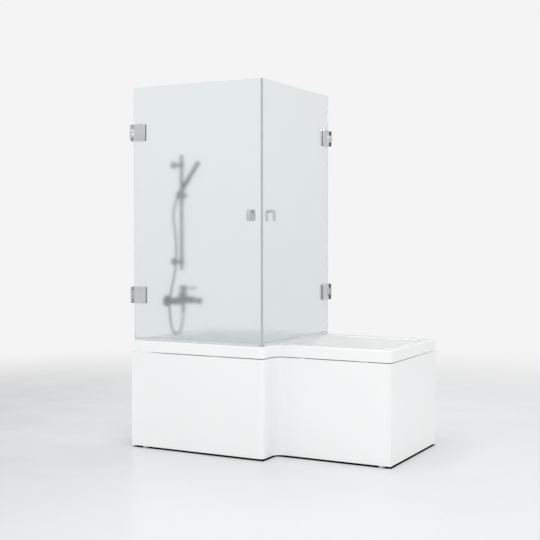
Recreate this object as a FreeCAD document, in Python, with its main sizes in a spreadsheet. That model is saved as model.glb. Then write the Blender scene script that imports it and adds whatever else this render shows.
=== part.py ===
import FreeCAD, Part
import math
import os
import re
import Sketcher

# A corner shower enclosure on an L-shaped shower bath.
# The frame's origin is the room corner on the floor: X runs right along the back wall,
# Y points into the back wall, so the front lies at negative Y, and Z is up. Millimetres.

SIZES = [
    # bath
    ("bath_length", 1500, "bath, along the back wall"),
    ("bath_depth", 700, "bath, narrow end, wall to front"),
    ("shower_depth", 850, "bath, wide shower end, wall to front"),
    ("shower_length", 840, "left wall to the step in the front"),
    ("rim_height", 605, "floor to the top of the rim"),
    ("apron_height", 63, "depth of the rim's outer lip"),
    ("rim_wall", 7, "thickness of the rim's top"),
    ("skirt_wall", 8, "thickness of lip and panels"),
    ("seam_gap", 4, "shadow gap between lip and panel"),
    ("floor_gap", 10, "panel's lower edge above the floor"),
    ("step_outer_radius", 24, "convex corner of the step"),
    ("step_inner_radius", 54, "concave corner of the step"),
    ("rim_corner_radius", 5, "other corners of the rim"),
    ("front_ledge", 60, "rim width at the front"),
    ("back_ledge", 80, "rim width at the back"),
    ("tap_ledge", 95, "rim width at the tap end"),
    ("end_ledge", 42, "rim width at the far end"),
    ("basin_depth", 420, "rim top to basin floor"),
    ("shell_wall", 6, "thickness of the basin"),
    ("basin_radius", 90, "upright corners of the basin"),
    ("basin_step_radius", 40, "basin corner at the step"),
    ("wall_slope", 26, "inward lean of the long basin walls"),
    ("rest_slope", 120, "inward lean of the sloping far end"),
    ("floor_radius", 50, "cove between basin walls and floor"),
    ("edge_radius", 5, "rounded upper edge of the rim"),
    # cradle, feet and panel fixings
    ("board_thickness", 18, "stiffening board under the basin"),
    ("board_margin", 22, "board inside the flat floor"),
    ("bar_width", 40, "cradle bar"),
    ("bar_height", 30, "cradle bar"),
    ("bar_wall", 3, "cradle bar"),
    ("bar_back", 110, "back wall to the bars' back ends"),
    ("bar_front_wide", 80, "wide front to the two long bars' ends"),
    ("bar_front_narrow", 80, "narrow front to the short bar's end"),
    ("first_bar", 400, "left wall to the first bar"),
    ("second_bar", 640, "left wall to the second bar"),
    ("third_bar", 300, "far end to the third bar"),
    ("foot_setback", 45, "foot inside the bar's end"),
    ("pad_radius", 28, "foot pad"),
    ("pad_height", 14, "foot pad"),
    ("stud_radius", 6, "foot stud"),
    ("nut_radius", 11, "foot nut across the corners"),
    ("nut_height", 10, "foot nut"),
    ("panel_foot_radius", 18, "foot under the front panel"),
    ("panel_foot_left", 82, "left wall to the front panel's first foot"),
    ("panel_foot_right", 56, "front panel's right end to its last foot"),
    ("panel_foot_setback", 4, "panel's face to its feet"),
    ("clip_width", 40, "panel clip, along the panel"),
    ("clip_depth", 9, "panel clip"),
    ("clip_height", 60, "panel clip, across the seam"),
    ("clip_inset", 150, "first clip from the end of a panel run"),
    ("pad_taper", 4, "foot pad, smaller at the top by"),
    ("stud_end", 3, "foot stud above its upper nut"),
    ("overcut", 1, "how far a cut runs past what it cuts"),
    # waste and overflow
    ("waste_across", 250, "left wall to the waste"),
    ("waste_out", 430, "back wall to the waste and overflow"),
    ("waste_radius", 25, "waste tail, outside"),
    ("waste_bore", 22, "waste tail, inside"),
    ("waste_flange_radius", 36, "waste flange"),
    ("waste_flange_height", 3, "waste flange"),
    ("waste_tail", 34, "waste tail below the basin floor"),
    ("plug_radius", 31, "pop-up plug"),
    ("plug_height", 5, "pop-up plug"),
    ("plug_stem_radius", 5, "pop-up plug's stem"),
    ("plug_stem", 44, "pop-up plug's stem"),
    ("hub_radius", 9, "stem guide in the waste"),
    ("hub_height", 10, "stem guide in the waste"),
    ("bridge_width", 5, "bar that carries the stem guide"),
    ("trap_radius", 44, "trap cup"),
    ("trap_wall", 4, "trap cup"),
    ("trap_height", 80, "trap cup"),
    ("trap_neck_radius", 32, "trap neck"),
    ("outlet_radius", 20, "trap outlet pipe"),
    ("outlet_bore", 17, "trap outlet pipe"),
    ("outlet_end", 60, "back wall to the end of the outlet pipe"),
    ("outlet_collar", 4, "wall of the trap's collar round the outlet pipe"),
    ("outlet_collar_length", 16, "trap's collar in front of the cup"),
    ("overflow_drop", 90, "rim top to the overflow"),
    ("overflow_radius", 30, "overflow body"),
    ("overflow_depth", 24, "overflow body"),
    ("overflow_pipe_radius", 13, "overflow pipe"),
    ("overflow_knob_radius", 32, "overflow knob"),
    ("overflow_knob_depth", 14, "overflow knob"),
    ("overflow_shaft_radius", 8, "overflow knob's shaft"),
    ("overflow_shift", 3, "overflow pipe behind the middle of its body"),
    ("overflow_knob_bevel", 3, "overflow knob's slanted side"),
    ("grip_depth", 6, "overflow knob's finger bar"),
    ("grip_width", 10, "overflow knob's finger bar"),
    # glass doors
    ("glass_thickness", 8, "door glass"),
    ("door_height", 1408, "door glass"),
    ("glass_inset", 10, "glass face inside the panel face"),
    ("glass_wall_gap", 14, "wall to the glass edge"),
    ("seal_gap", 0.4, "drip seal above the rim"),
    ("seal_base", 3, "drip seal below the glass"),
    ("seal_lip", 12, "drip seal up the glass"),
    ("seal_wall", 1.5, "drip seal beside the glass"),
    ("seal_setback", 4, "drip seal short of the corner"),
    ("corner_gap", 10, "glass edge to the corner"),
    ("mitre_gap", 0.4, "between the two corner seals"),
    # hinges
    ("hinge_inset", 250, "hinge centre from the glass's ends"),
    ("hinge_height", 94, "hinge plates"),
    ("wall_plate_width", 46, "hinge wall plate"),
    ("wall_plate_thickness", 9, "hinge wall plate"),
    ("wall_hole_radius", 2.75, "hinge wall plate's screw holes"),
    ("wall_hole_spacing", 66, "hinge wall plate's screw holes"),
    ("clamp_start", 21, "wall to the clamp plates"),
    ("clamp_end", 91, "wall to the clamp plates' far edge"),
    ("clamp_thickness", 10, "clamp plate"),
    ("plate_radius", 7, "rounded corners of the hinge plates"),
    ("plate_edge", 1.5, "rounded edges of the hinge plates"),
    ("gasket", 1.5, "gasket between clamp and glass"),
    ("pivot_offset", 34, "wall to the hinge pin"),
    ("pin_radius", 3.5, "hinge pin"),
    ("pin_setback", 2, "hinge pin inside its blocks' ends"),
    ("knuckle_radius", 9, "half thickness of the knuckle"),
    ("knuckle_height", 40, "knuckle"),
    ("knuckle_gap", 2, "knuckle to the clamp above and below it"),
    ("notch_room", 3, "knuckle to the notch's end"),
    ("ear_width", 16, "block that holds the pin"),
    ("ear_margin", 3, "clamp's edge to the block"),
    ("glass_notch_room", 3, "glass round the hinge block"),
    ("screw_offset", 70, "wall to the clamp screws"),
    ("screw_spacing", 56, "clamp screws"),
    ("screw_radius", 3, "clamp screws"),
    ("screw_head_radius", 5.5, "clamp screw heads"),
    ("screw_head", 5, "clamp screw heads"),
    ("screw_grip", 7, "screw inside the outer plate or pull"),
    ("glass_hole_room", 3, "glass round a screw"),
    ("fit", 0.05, "running clearance on the radius"),
    ("slack", 0.02, "clearance of a seated pin or screw"),
    # pulls
    ("front_pull_inset", 69, "corner to the front pull's middle"),
    ("side_pull_inset", 98, "corner to the side pull's middle"),
    ("pull_height_above", 695, "rim to the pull's middle"),
    ("pull_width", 26, "pull"),
    ("pull_height", 61, "pull"),
    ("pull_depth", 24, "pull from the glass"),
    ("pull_seat", 0.3, "thin clear washer between pull and glass"),
    ("pull_top", 17, "pull's bar on the glass"),
    ("pull_leg", 5.5, "pull's hanging leg"),
    ("pull_radius", 4, "pull's inner and outer rounding"),
    ("pull_edge", 1.2, "pull's rounded edges"),
    ("pull_screw_spacing", 13, "pull's two screws, side by side"),
    ("pull_screw_radius", 2, "pull's screws"),
    ("pull_screw_grip", 6, "screw inside a pull"),
    # riser rail and hand shower
    ("rail_setback", 61, "left wall to the rail"),
    ("rail_out", 418, "back wall to the rail"),
    ("rail_bottom", 984, "floor to the rail's lower end"),
    ("rail_length", 686, "rail"),
    ("rail_radius", 10, "rail"),
    ("lower_bracket", 52, "rail's lower end to the lower bracket"),
    ("upper_bracket", 60, "rail's upper end to the upper bracket"),
    ("rosette_radius", 22, "bracket's wall rosette"),
    ("rosette_depth", 8, "bracket's wall rosette"),
    ("post_radius", 9, "bracket's post"),
    ("collar_radius", 15, "bracket's ring round the rail"),
    ("collar_height", 26, "bracket's ring round the rail"),
    ("bracket_hole_radius", 2.6, "bracket's fixing hole"),
    ("bracket_hole_depth", 14, "bracket's fixing hole"),
    ("slider_height", 446, "rail's lower end to the slider's middle"),
    ("slider_radius", 18, "slider"),
    ("slider_length", 44, "slider"),
    ("boss_radius", 11, "slider's side bosses"),
    ("boss_reach", 20.5, "rail to the bosses' ends"),
    ("knob_radius", 15, "slider's lock knob"),
    ("knob_length", 20, "slider's lock knob"),
    ("knob_stem_radius", 4, "lock knob's stem"),
    ("knob_stem", 8, "lock knob's stem"),
    ("knob_collar", 3, "lock knob's smooth collar"),
    ("part_gap", 0.3, "between parts that turn face to face"),
    ("holder_offset", 6, "holder's pivot in front of the rail"),
    ("holder_gap", 0.5, "slider's boss to the holder ring"),
    ("holder_radius", 17, "holder ring"),
    ("holder_length", 30, "holder ring"),
    ("holder_pin_radius", 5, "holder's pivot pin"),
    ("holder_pin", 8, "holder's pivot pin"),
    ("holder_slot", 14, "slot that lets the hose in"),
    ("handset_lean", 35.5, "hand shower's lean from upright, degrees"),
    ("cone_tail", 16, "pivot to the cone nut's lower end"),
    ("cone_head", 20, "pivot to the cone nut's upper end"),
    ("cone_small", 8, "cone nut, lower radius"),
    ("cone_large", 12, "cone nut, upper radius"),
    ("handset_length", 216, "hand shower above the cone nut"),
    ("handset_radius", 12.5, "hand shower"),
    ("handset_tip", 6, "hand shower's rounded end"),
    ("spray_length", 96, "spray plate"),
    ("spray_width", 15, "spray plate"),
    ("spray_thickness", 2, "spray plate"),
    ("spray_margin", 1, "spray plate inside its flat"),
    ("spray_inset", 14, "spray plate from the tip"),
    ("spray_seat", 2.5, "depth of the flat for the spray plate"),
    # mixer
    ("mixer_setback", 70, "left wall to the mixer's axis"),
    ("mixer_out", 418, "back wall to the mixer's middle"),
    ("mixer_height", 805, "floor to the mixer's axis"),
    ("mixer_radius", 22, "mixer body"),
    ("mixer_length", 196, "mixer body"),
    ("mixer_edge", 5, "rounded ends of the mixer body"),
    ("inlet_spacing", 150, "between the inlets"),
    ("stub_radius", 13, "inlet stub on the body"),
    ("stub_length", 4, "inlet stub outside the body"),
    ("union_radius", 17, "union nut"),
    ("union_gap", 2, "wall cover to the union nut"),
    ("union_pipe_radius", 10.5, "union pipe"),
    ("union_bore", 7.5, "union bore"),
    ("cover_radius", 36, "wall cover round a pipe"),
    ("cover_front_radius", 31, "wall cover, front"),
    ("cover_depth", 12, "wall cover"),
    ("housing_radius", 23, "cartridge housing"),
    ("housing_height", 52, "mixer's axis to the housing's top"),
    ("spindle_radius", 6, "cartridge spindle"),
    ("spindle_depth", 18, "spindle inside the housing"),
    ("spindle_neck", 2, "spindle above the housing"),
    ("tongue_width", 10, "spindle tongue"),
    ("tongue_thickness", 6, "spindle tongue"),
    ("tongue_height", 27, "spindle tongue"),
    ("cap_gap", 5, "housing to the lever cap"),
    ("cap_radius", 19.5, "lever cap"),
    ("cap_height", 32, "lever cap"),
    ("cap_slot", 22, "slot in the lever cap"),
    ("cap_room", 2, "spindle tongue to the slot's end"),
    ("lever_height", 19, "lever cap's foot to the pin lever"),
    ("lever_radius", 4.5, "pin lever"),
    ("lever_reach", 96, "mixer's axis to the lever's tip"),
    ("spout_radius", 15, "spout"),
    ("spout_height", 3, "mixer's axis to the spout's axis"),
    ("spout_reach", 126, "mixer's axis to the spout's end"),
    ("nozzle_radius", 10, "spout's nozzle"),
    ("nozzle_bore", 7.5, "spout's nozzle"),
    ("nozzle_drop", 24, "spout's axis to the nozzle's mouth"),
    ("nozzle_depth", 14, "nozzle's bore"),
    ("diverter_gap", 25, "housing to the diverter ring"),
    ("diverter_length", 16, "diverter ring"),
    ("diverter_radius", 21, "diverter ring"),
    ("diverter_pip", 3, "diverter ring's pip"),
    ("nipple_radius", 9, "shower outlet nipple"),
    ("nipple_length", 40, "mixer's axis to the nipple's end"),
    ("outlet_nut_radius", 11, "hose nut at the mixer"),
    ("outlet_nut_length", 27, "hose nut at the mixer"),
    ("hose_radius", 6.5, "shower hose"),
]

# The hose hangs from the mixer in a loop that lies on the rim, passes the mixer's end
# and climbs to the hand shower. It starts at the mixer's nut and ends inside the cone nut.
HOSE_ROUTE = [
    (70, -418, 738), (70, -418, 611.8), (70, -548, 611.8), (70, -570, 775), (72, -548, 885),
    (76, -508, 985), (78, -500, 1090), (70, -498, 1200), (46, -490, 1300),
    (36.803, -456, 1387.666), (77.453, -456, 1444.654),
]

doc = FreeCAD.newDocument("CornerShower")
sheet = doc.addObject("Spreadsheet::Sheet", "Sizes")
for row, (alias, value, note) in enumerate(SIZES, start=1):
    sheet.set(f"A{row}", note)
    sheet.set(f"B{row}", str(value))
    sheet.setAlias(f"B{row}", alias)
doc.recompute()
ALIASES = {alias for alias, value, note in SIZES}
nodes = {}

X_AXIS = FreeCAD.Rotation(FreeCAD.Vector(0, 1, 0), 90)
Y_AXIS = FreeCAD.Rotation(FreeCAD.Vector(1, 0, 0), -90)
Z_AXIS = FreeCAD.Rotation()
FLUTES = 6
NEARLY_ZERO = 1e-9


def on_sheet(expression):
    """The expression with every alias written as the sheet's own value."""
    def name(word):
        return "Sizes." + word[0] if word[0] in ALIASES else word[0]
    return re.sub(r"[a-z]\w*", name, str(expression))


def number(expression):
    """What an expression on the sheet comes to."""
    return float(sheet.evalExpression(on_sheet(expression)))


def bind(item, prop, expression):
    item.setExpression(prop, on_sheet(expression))


def place(item, at, turn=Z_AXIS):
    """Put an object at a point given by three expressions."""
    item.Placement = FreeCAD.Placement(FreeCAD.Vector(*[number(value) for value in at]), turn)
    for axis, value in zip("xyz", at):
        bind(item, "Placement.Base." + axis, value)
    return item


def node(label, item):
    """Keep an object as one named piece of the assembly."""
    item.Label = label
    nodes[label] = item
    return item


# Part solids with bound sizes

def box(name, size, at, turn=Z_AXIS):
    solid = doc.addObject("Part::Box", name)
    for prop, value in zip(("Length", "Width", "Height"), size):
        bind(solid, prop, value)
    return place(solid, at, turn)


def rod(name, radius, length, at, turn=Z_AXIS):
    solid = doc.addObject("Part::Cylinder", name)
    bind(solid, "Radius", radius)
    bind(solid, "Height", length)
    return place(solid, at, turn)


def cone(name, first, last, length, at, turn=Z_AXIS):
    solid = doc.addObject("Part::Cone", name)
    bind(solid, "Radius1", first)
    bind(solid, "Radius2", last)
    bind(solid, "Height", length)
    return place(solid, at, turn)


def fuse(name, solids):
    joined = doc.addObject("Part::MultiFuse", name)
    joined.Shapes = solids
    joined.Refine = True
    return joined


def cut(name, base, tools):
    rest = doc.addObject("Part::Cut", name)
    rest.Base = base
    rest.Tool = tools[0] if len(tools) == 1 else fuse(name + "_tools", tools)
    return rest


def group(name, solids):
    several = doc.addObject("Part::Compound", name)
    several.Links = solids
    return several


def soften(name, base, radius, wanted):
    """Round the edges of a Part solid that a test picks."""
    doc.recompute()
    size = number(radius)
    rounded = doc.addObject("Part::Fillet", name)
    rounded.Base = base
    edges = enumerate(base.Shape.Edges, start=1)
    rounded.Edges = [(index, size, size) for index, edge in edges if wanted(edge)]
    return rounded


# PartDesign bodies with bound sketches

def new_body(name, at=("0", "0", "0"), turn=Z_AXIS):
    return place(doc.addObject("PartDesign::Body", name), at, turn)


def sketch_on(body, role, lift="0"):
    """A sketch on one of the body's origin planes, lifted along the plane's normal."""
    sketch = body.newObject("Sketcher::SketchObject", body.Name + "_sketch")
    plane = next(item for item in body.Origin.OriginFeatures if item.Role == role)
    sketch.AttachmentSupport = [(plane, "")]
    sketch.MapMode = "FlatFace"
    bind(sketch, "AttachmentOffset.Base.z", lift)
    return sketch


def rule(sketch, *terms):
    return sketch.addConstraint(Sketcher.Constraint(*terms))


def pin_point(sketch, item, end, x, y):
    """Hold a point of the sketch at two expressions, measured from the sketch's origin."""
    for kind, axis, value in (("DistanceX", -2, x), ("DistanceY", -1, y)):
        size = number(value)
        if abs(size) < NEARLY_ZERO:
            rule(sketch, "PointOnObject", item, end, axis)
        elif size > 0:
            bind(sketch, f"Constraints[{rule(sketch, kind, -1, 1, item, end, size)}]", value)
        else:
            bind(sketch, f"Constraints[{rule(sketch, kind, item, end, -1, 1, -size)}]", f"-({value})")


def circle(sketch, x, y, radius):
    centre = FreeCAD.Vector(number(x), number(y), 0)
    ring = sketch.addGeometry(Part.Circle(centre, FreeCAD.Vector(0, 0, 1), number(radius)))
    pin_point(sketch, ring, 3, x, y)
    bind(sketch, f"Constraints[{rule(sketch, 'Radius', ring, number(radius))}]", radius)


def outline(sketch, corners):
    """A closed loop through (x, y, radius) corners; radius "0" leaves a corner sharp."""
    points = [FreeCAD.Vector(number(x), number(y), 0) for x, y, radius in corners]
    radii = [number(radius) for x, y, radius in corners]
    arcs = []
    for i, point in enumerate(points):
        back = (points[i - 1] - point).normalize()
        ahead = (points[(i + 1) % len(points)] - point).normalize()
        half = back.getAngle(ahead) / 2
        reach = radii[i] / math.tan(half)
        middle = point + (back + ahead).normalize() * (radii[i] / math.sin(half))
        arcs.append((point + back * reach, point + ahead * reach, middle))
    sides = []
    for i, arc in enumerate(arcs):
        sides.append(sketch.addGeometry(Part.LineSegment(arc[1], arcs[(i + 1) % len(arcs)][0])))
    for i, (x, y, radius) in enumerate(corners):
        before, after = sides[i - 1], sides[i]
        if radii[i] == 0:
            rule(sketch, "Coincident", before, 2, after, 1)
            pin_point(sketch, after, 1, x, y)
            continue
        first, last, middle = arcs[i]
        angles = [math.atan2(end.y - middle.y, end.x - middle.x) for end in (first, last)]
        forward = (angles[1] - angles[0]) % (2 * math.pi) < math.pi
        ring = Part.Circle(middle, FreeCAD.Vector(0, 0, 1), radii[i])
        span = angles if forward else angles[::-1]
        arc = sketch.addGeometry(Part.ArcOfCircle(ring, span[0], span[1]))
        vertex = sketch.addGeometry(Part.Point(points[i]), True)
        pin_point(sketch, vertex, 1, x, y)
        rule(sketch, "PointOnObject", vertex, 1, before)
        rule(sketch, "PointOnObject", vertex, 1, after)
        rule(sketch, "Tangent", before, 2, arc, 1 if forward else 2)
        rule(sketch, "Tangent", after, 1, arc, 2 if forward else 1)
        bind(sketch, f"Constraints[{rule(sketch, 'Radius', arc, radii[i])}]", radius)


def extrude(body, kind, sketch, length, side="along"):
    """A Pad or Pocket; side is along the sketch's normal, against it, or both."""
    feature = body.newObject("PartDesign::" + kind, body.Name + "_" + kind.lower())
    feature.Profile = sketch
    bind(feature, "Length", length)
    feature.Reversed = side == "against"
    feature.SideType = "Symmetric" if side == "both" else "One side"
    return feature


def pad(body, sketch, length, side="along"):
    return extrude(body, "Pad", sketch, length, side)


def pocket(body, sketch, length, side="along"):
    """A Pocket, which has to take something away. Its own direction is against the normal."""
    doc.recompute()
    before = body.Shape.Volume
    feature = extrude(body, "Pocket", sketch, length, side)
    doc.recompute()
    if body.Shape.Volume > before - 1e-6:
        raise RuntimeError(feature.Name + " cuts nothing")
    return feature


def round_off(body, radius, wanted):
    """Round the edges of a body that a test picks, in the body's own frame."""
    doc.recompute()
    tip = body.Tip
    picked = [f"Edge{i}" for i, edge in enumerate(tip.Shape.Edges, start=1) if wanted(edge)]
    fillet = body.newObject("PartDesign::Fillet", body.Name + "_fillet")
    fillet.Base = (tip, picked)
    bind(fillet, "Radius", radius)
    return fillet


def flat(edge, axis, value):
    """Whether an edge lies wholly in the plane where one coordinate has a value."""
    low = getattr(edge.BoundBox, axis.upper() + "Min")
    high = getattr(edge.BoundBox, axis.upper() + "Max")
    return abs(low - value) < 1e-3 and abs(high - value) < 1e-3


# Bath

BASIN_FLOOR = "(rim_height - basin_depth)"
SHELL_FOOT = "(rim_height - basin_depth - shell_wall)"


STEP = "(shower_depth - bath_depth)"
STEP_OUTER = f"min(step_outer_radius; {STEP} * 0.3)"
STEP_INNER = f"min(step_inner_radius; {STEP} * 0.5)"
BASIN_STEP_OUTER = f"min(basin_radius; {STEP} * 0.62)"
BASIN_STEP_INNER = f"min(basin_step_radius; {STEP} * 0.3)"
FLOOR_RADIUS = f"min(floor_radius; {STEP} * 0.5)"


def bath_outline(inset):
    """The bath's L-shaped plan, moved inwards; the step's corners stay parallel."""
    return [
        (f"{inset}", f"-({inset})", "rim_corner_radius"),
        (f"bath_length - ({inset})", f"-({inset})", "rim_corner_radius"),
        (f"bath_length - ({inset})", f"-(bath_depth - ({inset}))", "rim_corner_radius"),
        (f"shower_length - ({inset})", f"-(bath_depth - ({inset}))", f"{STEP_INNER} + ({inset})"),
        (f"shower_length - ({inset})", f"-(shower_depth - ({inset}))", f"{STEP_OUTER} - ({inset})"),
        (f"{inset}", f"-(shower_depth - ({inset}))", "rim_corner_radius"),
    ]


def basin_outline(lean, grow, radius_cut):
    """The basin's L-shaped plan: lean is the share of the walls' slope at this height."""
    wall = f"({lean} * wall_slope - {grow})"
    rest = f"({lean} * rest_slope - {grow})"
    corner = f"(basin_radius - {radius_cut} + {grow})"
    return [
        (f"tap_ledge - {grow}", f"-(back_ledge + {wall})", corner),
        (f"bath_length - end_ledge - {rest}", f"-(back_ledge + {wall})", corner),
        (f"bath_length - end_ledge - {rest}", f"-(bath_depth - front_ledge - {wall})", corner),
        (f"shower_length - front_ledge - {wall}", f"-(bath_depth - front_ledge - {wall})",
         f"({BASIN_STEP_INNER} + {radius_cut} - {grow})"),
        (f"shower_length - front_ledge - {wall}", f"-(shower_depth - front_ledge - {wall})",
         f"({BASIN_STEP_OUTER} - {radius_cut} + {grow})"),
        (f"tap_ledge - {grow}", f"-(shower_depth - front_ledge - {wall})", corner),
    ]


def basin_loft(body, kind, heights, grow):
    """A loft between the basin's plan at the rim and at its floor."""
    sections = []
    for height, lean in zip(heights, ("0", "1")):
        section = sketch_on(body, "XY_Plane", height)
        outline(section, basin_outline(lean, grow, "0"))
        sections.append(section)
    loft = body.newObject("PartDesign::" + kind, body.Name + "_" + kind.lower())
    loft.Profile = sections[0]
    loft.Sections = sections[1:]
    loft.Ruled = True
    return loft


def make_shell():
    """The moulded bath: rim with its lip, and the basin with a hole for waste and overflow."""
    body = new_body("bath_shell")
    rim = sketch_on(body, "XY_Plane", "rim_height")
    outline(rim, bath_outline("0"))
    pad(body, rim, "apron_height", "against")
    under = sketch_on(body, "XY_Plane", "rim_height - apron_height")
    outline(under, bath_outline("skirt_wall"))
    pocket(body, under, "apron_height - rim_wall", "against")
    basin_loft(body, "AdditiveLoft", ("rim_height - rim_wall / 2", SHELL_FOOT), "shell_wall")
    basin_loft(body, "SubtractiveLoft", ("rim_height", BASIN_FLOOR), "0")
    floor = number(BASIN_FLOOR)
    round_off(body, FLOOR_RADIUS, lambda edge: flat(edge, "z", floor))
    foot = number(SHELL_FOOT)
    round_off(body, f"{FLOOR_RADIUS} + shell_wall", lambda edge: flat(edge, "z", foot))
    waste = sketch_on(body, "XY_Plane", BASIN_FLOOR)
    circle(waste, "waste_across", "-waste_out", "waste_radius + slack")
    pocket(body, waste, "2 * shell_wall", "both")
    overflow = sketch_on(body, "YZ_Plane", "tap_ledge")
    circle(overflow, "-waste_out", "rim_height - overflow_drop", "overflow_shaft_radius + 10 * fit")
    pocket(body, overflow, "4 * shell_wall", "both")
    top = number("rim_height")
    round_off(body, "edge_radius", lambda edge: flat(edge, "z", top))
    return node("bath_shell", body)


def make_panels():
    """The stepped front panel and the end panel, flush with the rim's lip."""
    height = "rim_height - apron_height - seam_gap - floor_gap"
    front = new_body("front_panel")
    plan = sketch_on(front, "XY_Plane", "floor_gap")
    outline(plan, [
        ("part_gap", "-shower_depth", "0"),
        ("shower_length", "-shower_depth", STEP_OUTER),
        ("shower_length", "-bath_depth", STEP_INNER),
        ("bath_length", "-bath_depth", "0"),
        ("bath_length", "-(bath_depth - skirt_wall)", "0"),
        ("shower_length - skirt_wall", "-(bath_depth - skirt_wall)", f"{STEP_INNER} + skirt_wall"),
        ("shower_length - skirt_wall", "-(shower_depth - skirt_wall)", f"{STEP_OUTER} - skirt_wall"),
        ("part_gap", "-(shower_depth - skirt_wall)", "0"),
    ])
    pad(front, plan, height)
    node("front_panel", front)
    end = box("end_panel", ("skirt_wall", "bath_depth - skirt_wall - part_gap", height),
              ("bath_length - skirt_wall", "-(bath_depth - skirt_wall - part_gap)", "floor_gap"))
    node("end_panel", end)


def make_panel_feet():
    """The two small feet that carry the front panel near its ends."""
    feet = []
    for i, (along, depth) in enumerate((("panel_foot_left", "shower_depth"),
                                        ("bath_length - panel_foot_right", "bath_depth"))):
        feet.append(rod(f"panel_foot_{i}", "panel_foot_radius", "floor_gap",
                        (along, f"-({depth} - panel_foot_setback - panel_foot_radius)", "0")))
    node("panel_feet", group("panel_feet", feet))


def make_clips():
    """Clips behind the seam that hold the panels' upper edges to the rim's lip."""
    foot = "rim_height - apron_height - clip_height / 2"
    clips = []
    runs = [("clip_inset", "shower_depth"), ("shower_length - 2 * clip_inset", "shower_depth"),
            ("shower_length + clip_inset", "bath_depth"), ("bath_length - clip_inset", "bath_depth")]
    for i, (along, depth) in enumerate(runs):
        clips.append(box(f"front_clip_{i}", ("clip_width", "clip_depth", "clip_height"),
                         (f"{along} - clip_width / 2", f"-({depth} - skirt_wall)", foot)))
    for i, along in enumerate(("clip_inset", "bath_depth - clip_inset")):
        clips.append(box(f"end_clip_{i}", ("clip_depth", "clip_width", "clip_height"),
                         ("bath_length - skirt_wall - clip_depth", f"-({along} + clip_width / 2)", foot)))
    node("panel_clips", group("panel_clips", clips))


BARS = [("first_bar", "(shower_depth - bar_front_wide)"), ("second_bar", "(shower_depth - bar_front_wide)"),
        ("(bath_length - third_bar)", "(bath_depth - bar_front_narrow)")]
BAR_FOOT = f"({SHELL_FOOT} - board_thickness - bar_height)"


def foot_places():
    for along, front in BARS:
        yield along, "bar_back + foot_setback"
        yield along, f"{front} - foot_setback"


def make_board():
    """The stiffening board glued under the basin's flat floor."""
    wall = "(wall_slope + floor_radius + board_margin)"
    body = new_body("base_board", ("0", "0", f"{SHELL_FOOT} - board_thickness"))
    plan = sketch_on(body, "XY_Plane")
    left = "tap_ledge + floor_radius + board_margin"
    right = "bath_length - end_ledge - rest_slope - floor_radius - board_margin"
    outline(plan, [
        (left, f"-(back_ledge + {wall})", "0"),
        (right, f"-(back_ledge + {wall})", "0"),
        (right, f"-(bath_depth - front_ledge - {wall})", "0"),
        (f"shower_length - front_ledge - {wall}", f"-(bath_depth - front_ledge - {wall})", "0"),
        (f"shower_length - front_ledge - {wall}", f"-(shower_depth - front_ledge - {wall})", "0"),
        (left, f"-(shower_depth - front_ledge - {wall})", "0"),
    ])
    circle(plan, "waste_across", "-waste_out", "trap_radius + trap_wall")
    pad(body, plan, "board_thickness")
    node("base_board", body)


def make_cradle():
    """Three hollow bars under the board, each on two levelling feet with a pair of nuts."""
    bars = []
    for i, (along, front) in enumerate(BARS):
        left = f"{along} - bar_width / 2"
        outer = box(f"bar_{i}", ("bar_width", f"{front} - bar_back", "bar_height"),
                    (left, f"-({front})", BAR_FOOT))
        room = ("bar_width - 2 * bar_wall", f"{front} - bar_back + 2 * overcut", "bar_height - 2 * bar_wall")
        inner = box(f"bar_room_{i}", room,
                    (f"{left} + bar_wall", f"-({front} + overcut)", f"{BAR_FOOT} + bar_wall"))
        holes = [rod(f"bar_hole_{i}_{k}", "stud_radius + slack", "2 * bar_wall",
                     (along, f"-({out})", f"{BAR_FOOT} - bar_wall / 2"))
                 for k, out in enumerate(("bar_back + foot_setback", f"{front} - foot_setback"))]
        bars.append(cut(f"cradle_bar_{i}", outer, [inner] + holes))
    node("cradle_bars", group("cradle_bars", bars))
    feet, nuts = [], []
    for i, (along, out) in enumerate(foot_places()):
        pad_cone = cone(f"pad_{i}", "pad_radius", "pad_radius - pad_taper", "pad_height",
                        (along, f"-({out})", "0"))
        stud_length = f"{BAR_FOOT} + bar_wall + nut_height + stud_end - pad_height / 2"
        stud = rod(f"stud_{i}", "stud_radius", stud_length, (along, f"-({out})", "pad_height / 2"))
        feet.append(fuse(f"foot_{i}", [pad_cone, stud]))
        for k, foot in enumerate((f"{BAR_FOOT} - nut_height", f"{BAR_FOOT} + bar_wall")):
            prism = doc.addObject("Part::Prism", f"nut_{i}_{k}")
            prism.Polygon = 6
            bind(prism, "Circumradius", "nut_radius")
            bind(prism, "Height", "nut_height")
            place(prism, (along, f"-({out})", foot))
            bore = rod(f"nut_bore_{i}_{k}", "stud_radius + slack", "nut_height + 2 * overcut",
                       (along, f"-({out})", f"{foot} - overcut"))
            nuts.append(cut(f"nut_cut_{i}_{k}", prism, [bore]))
    node("levelling_feet", group("levelling_feet", feet))
    node("foot_nuts", group("foot_nuts", nuts))


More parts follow.
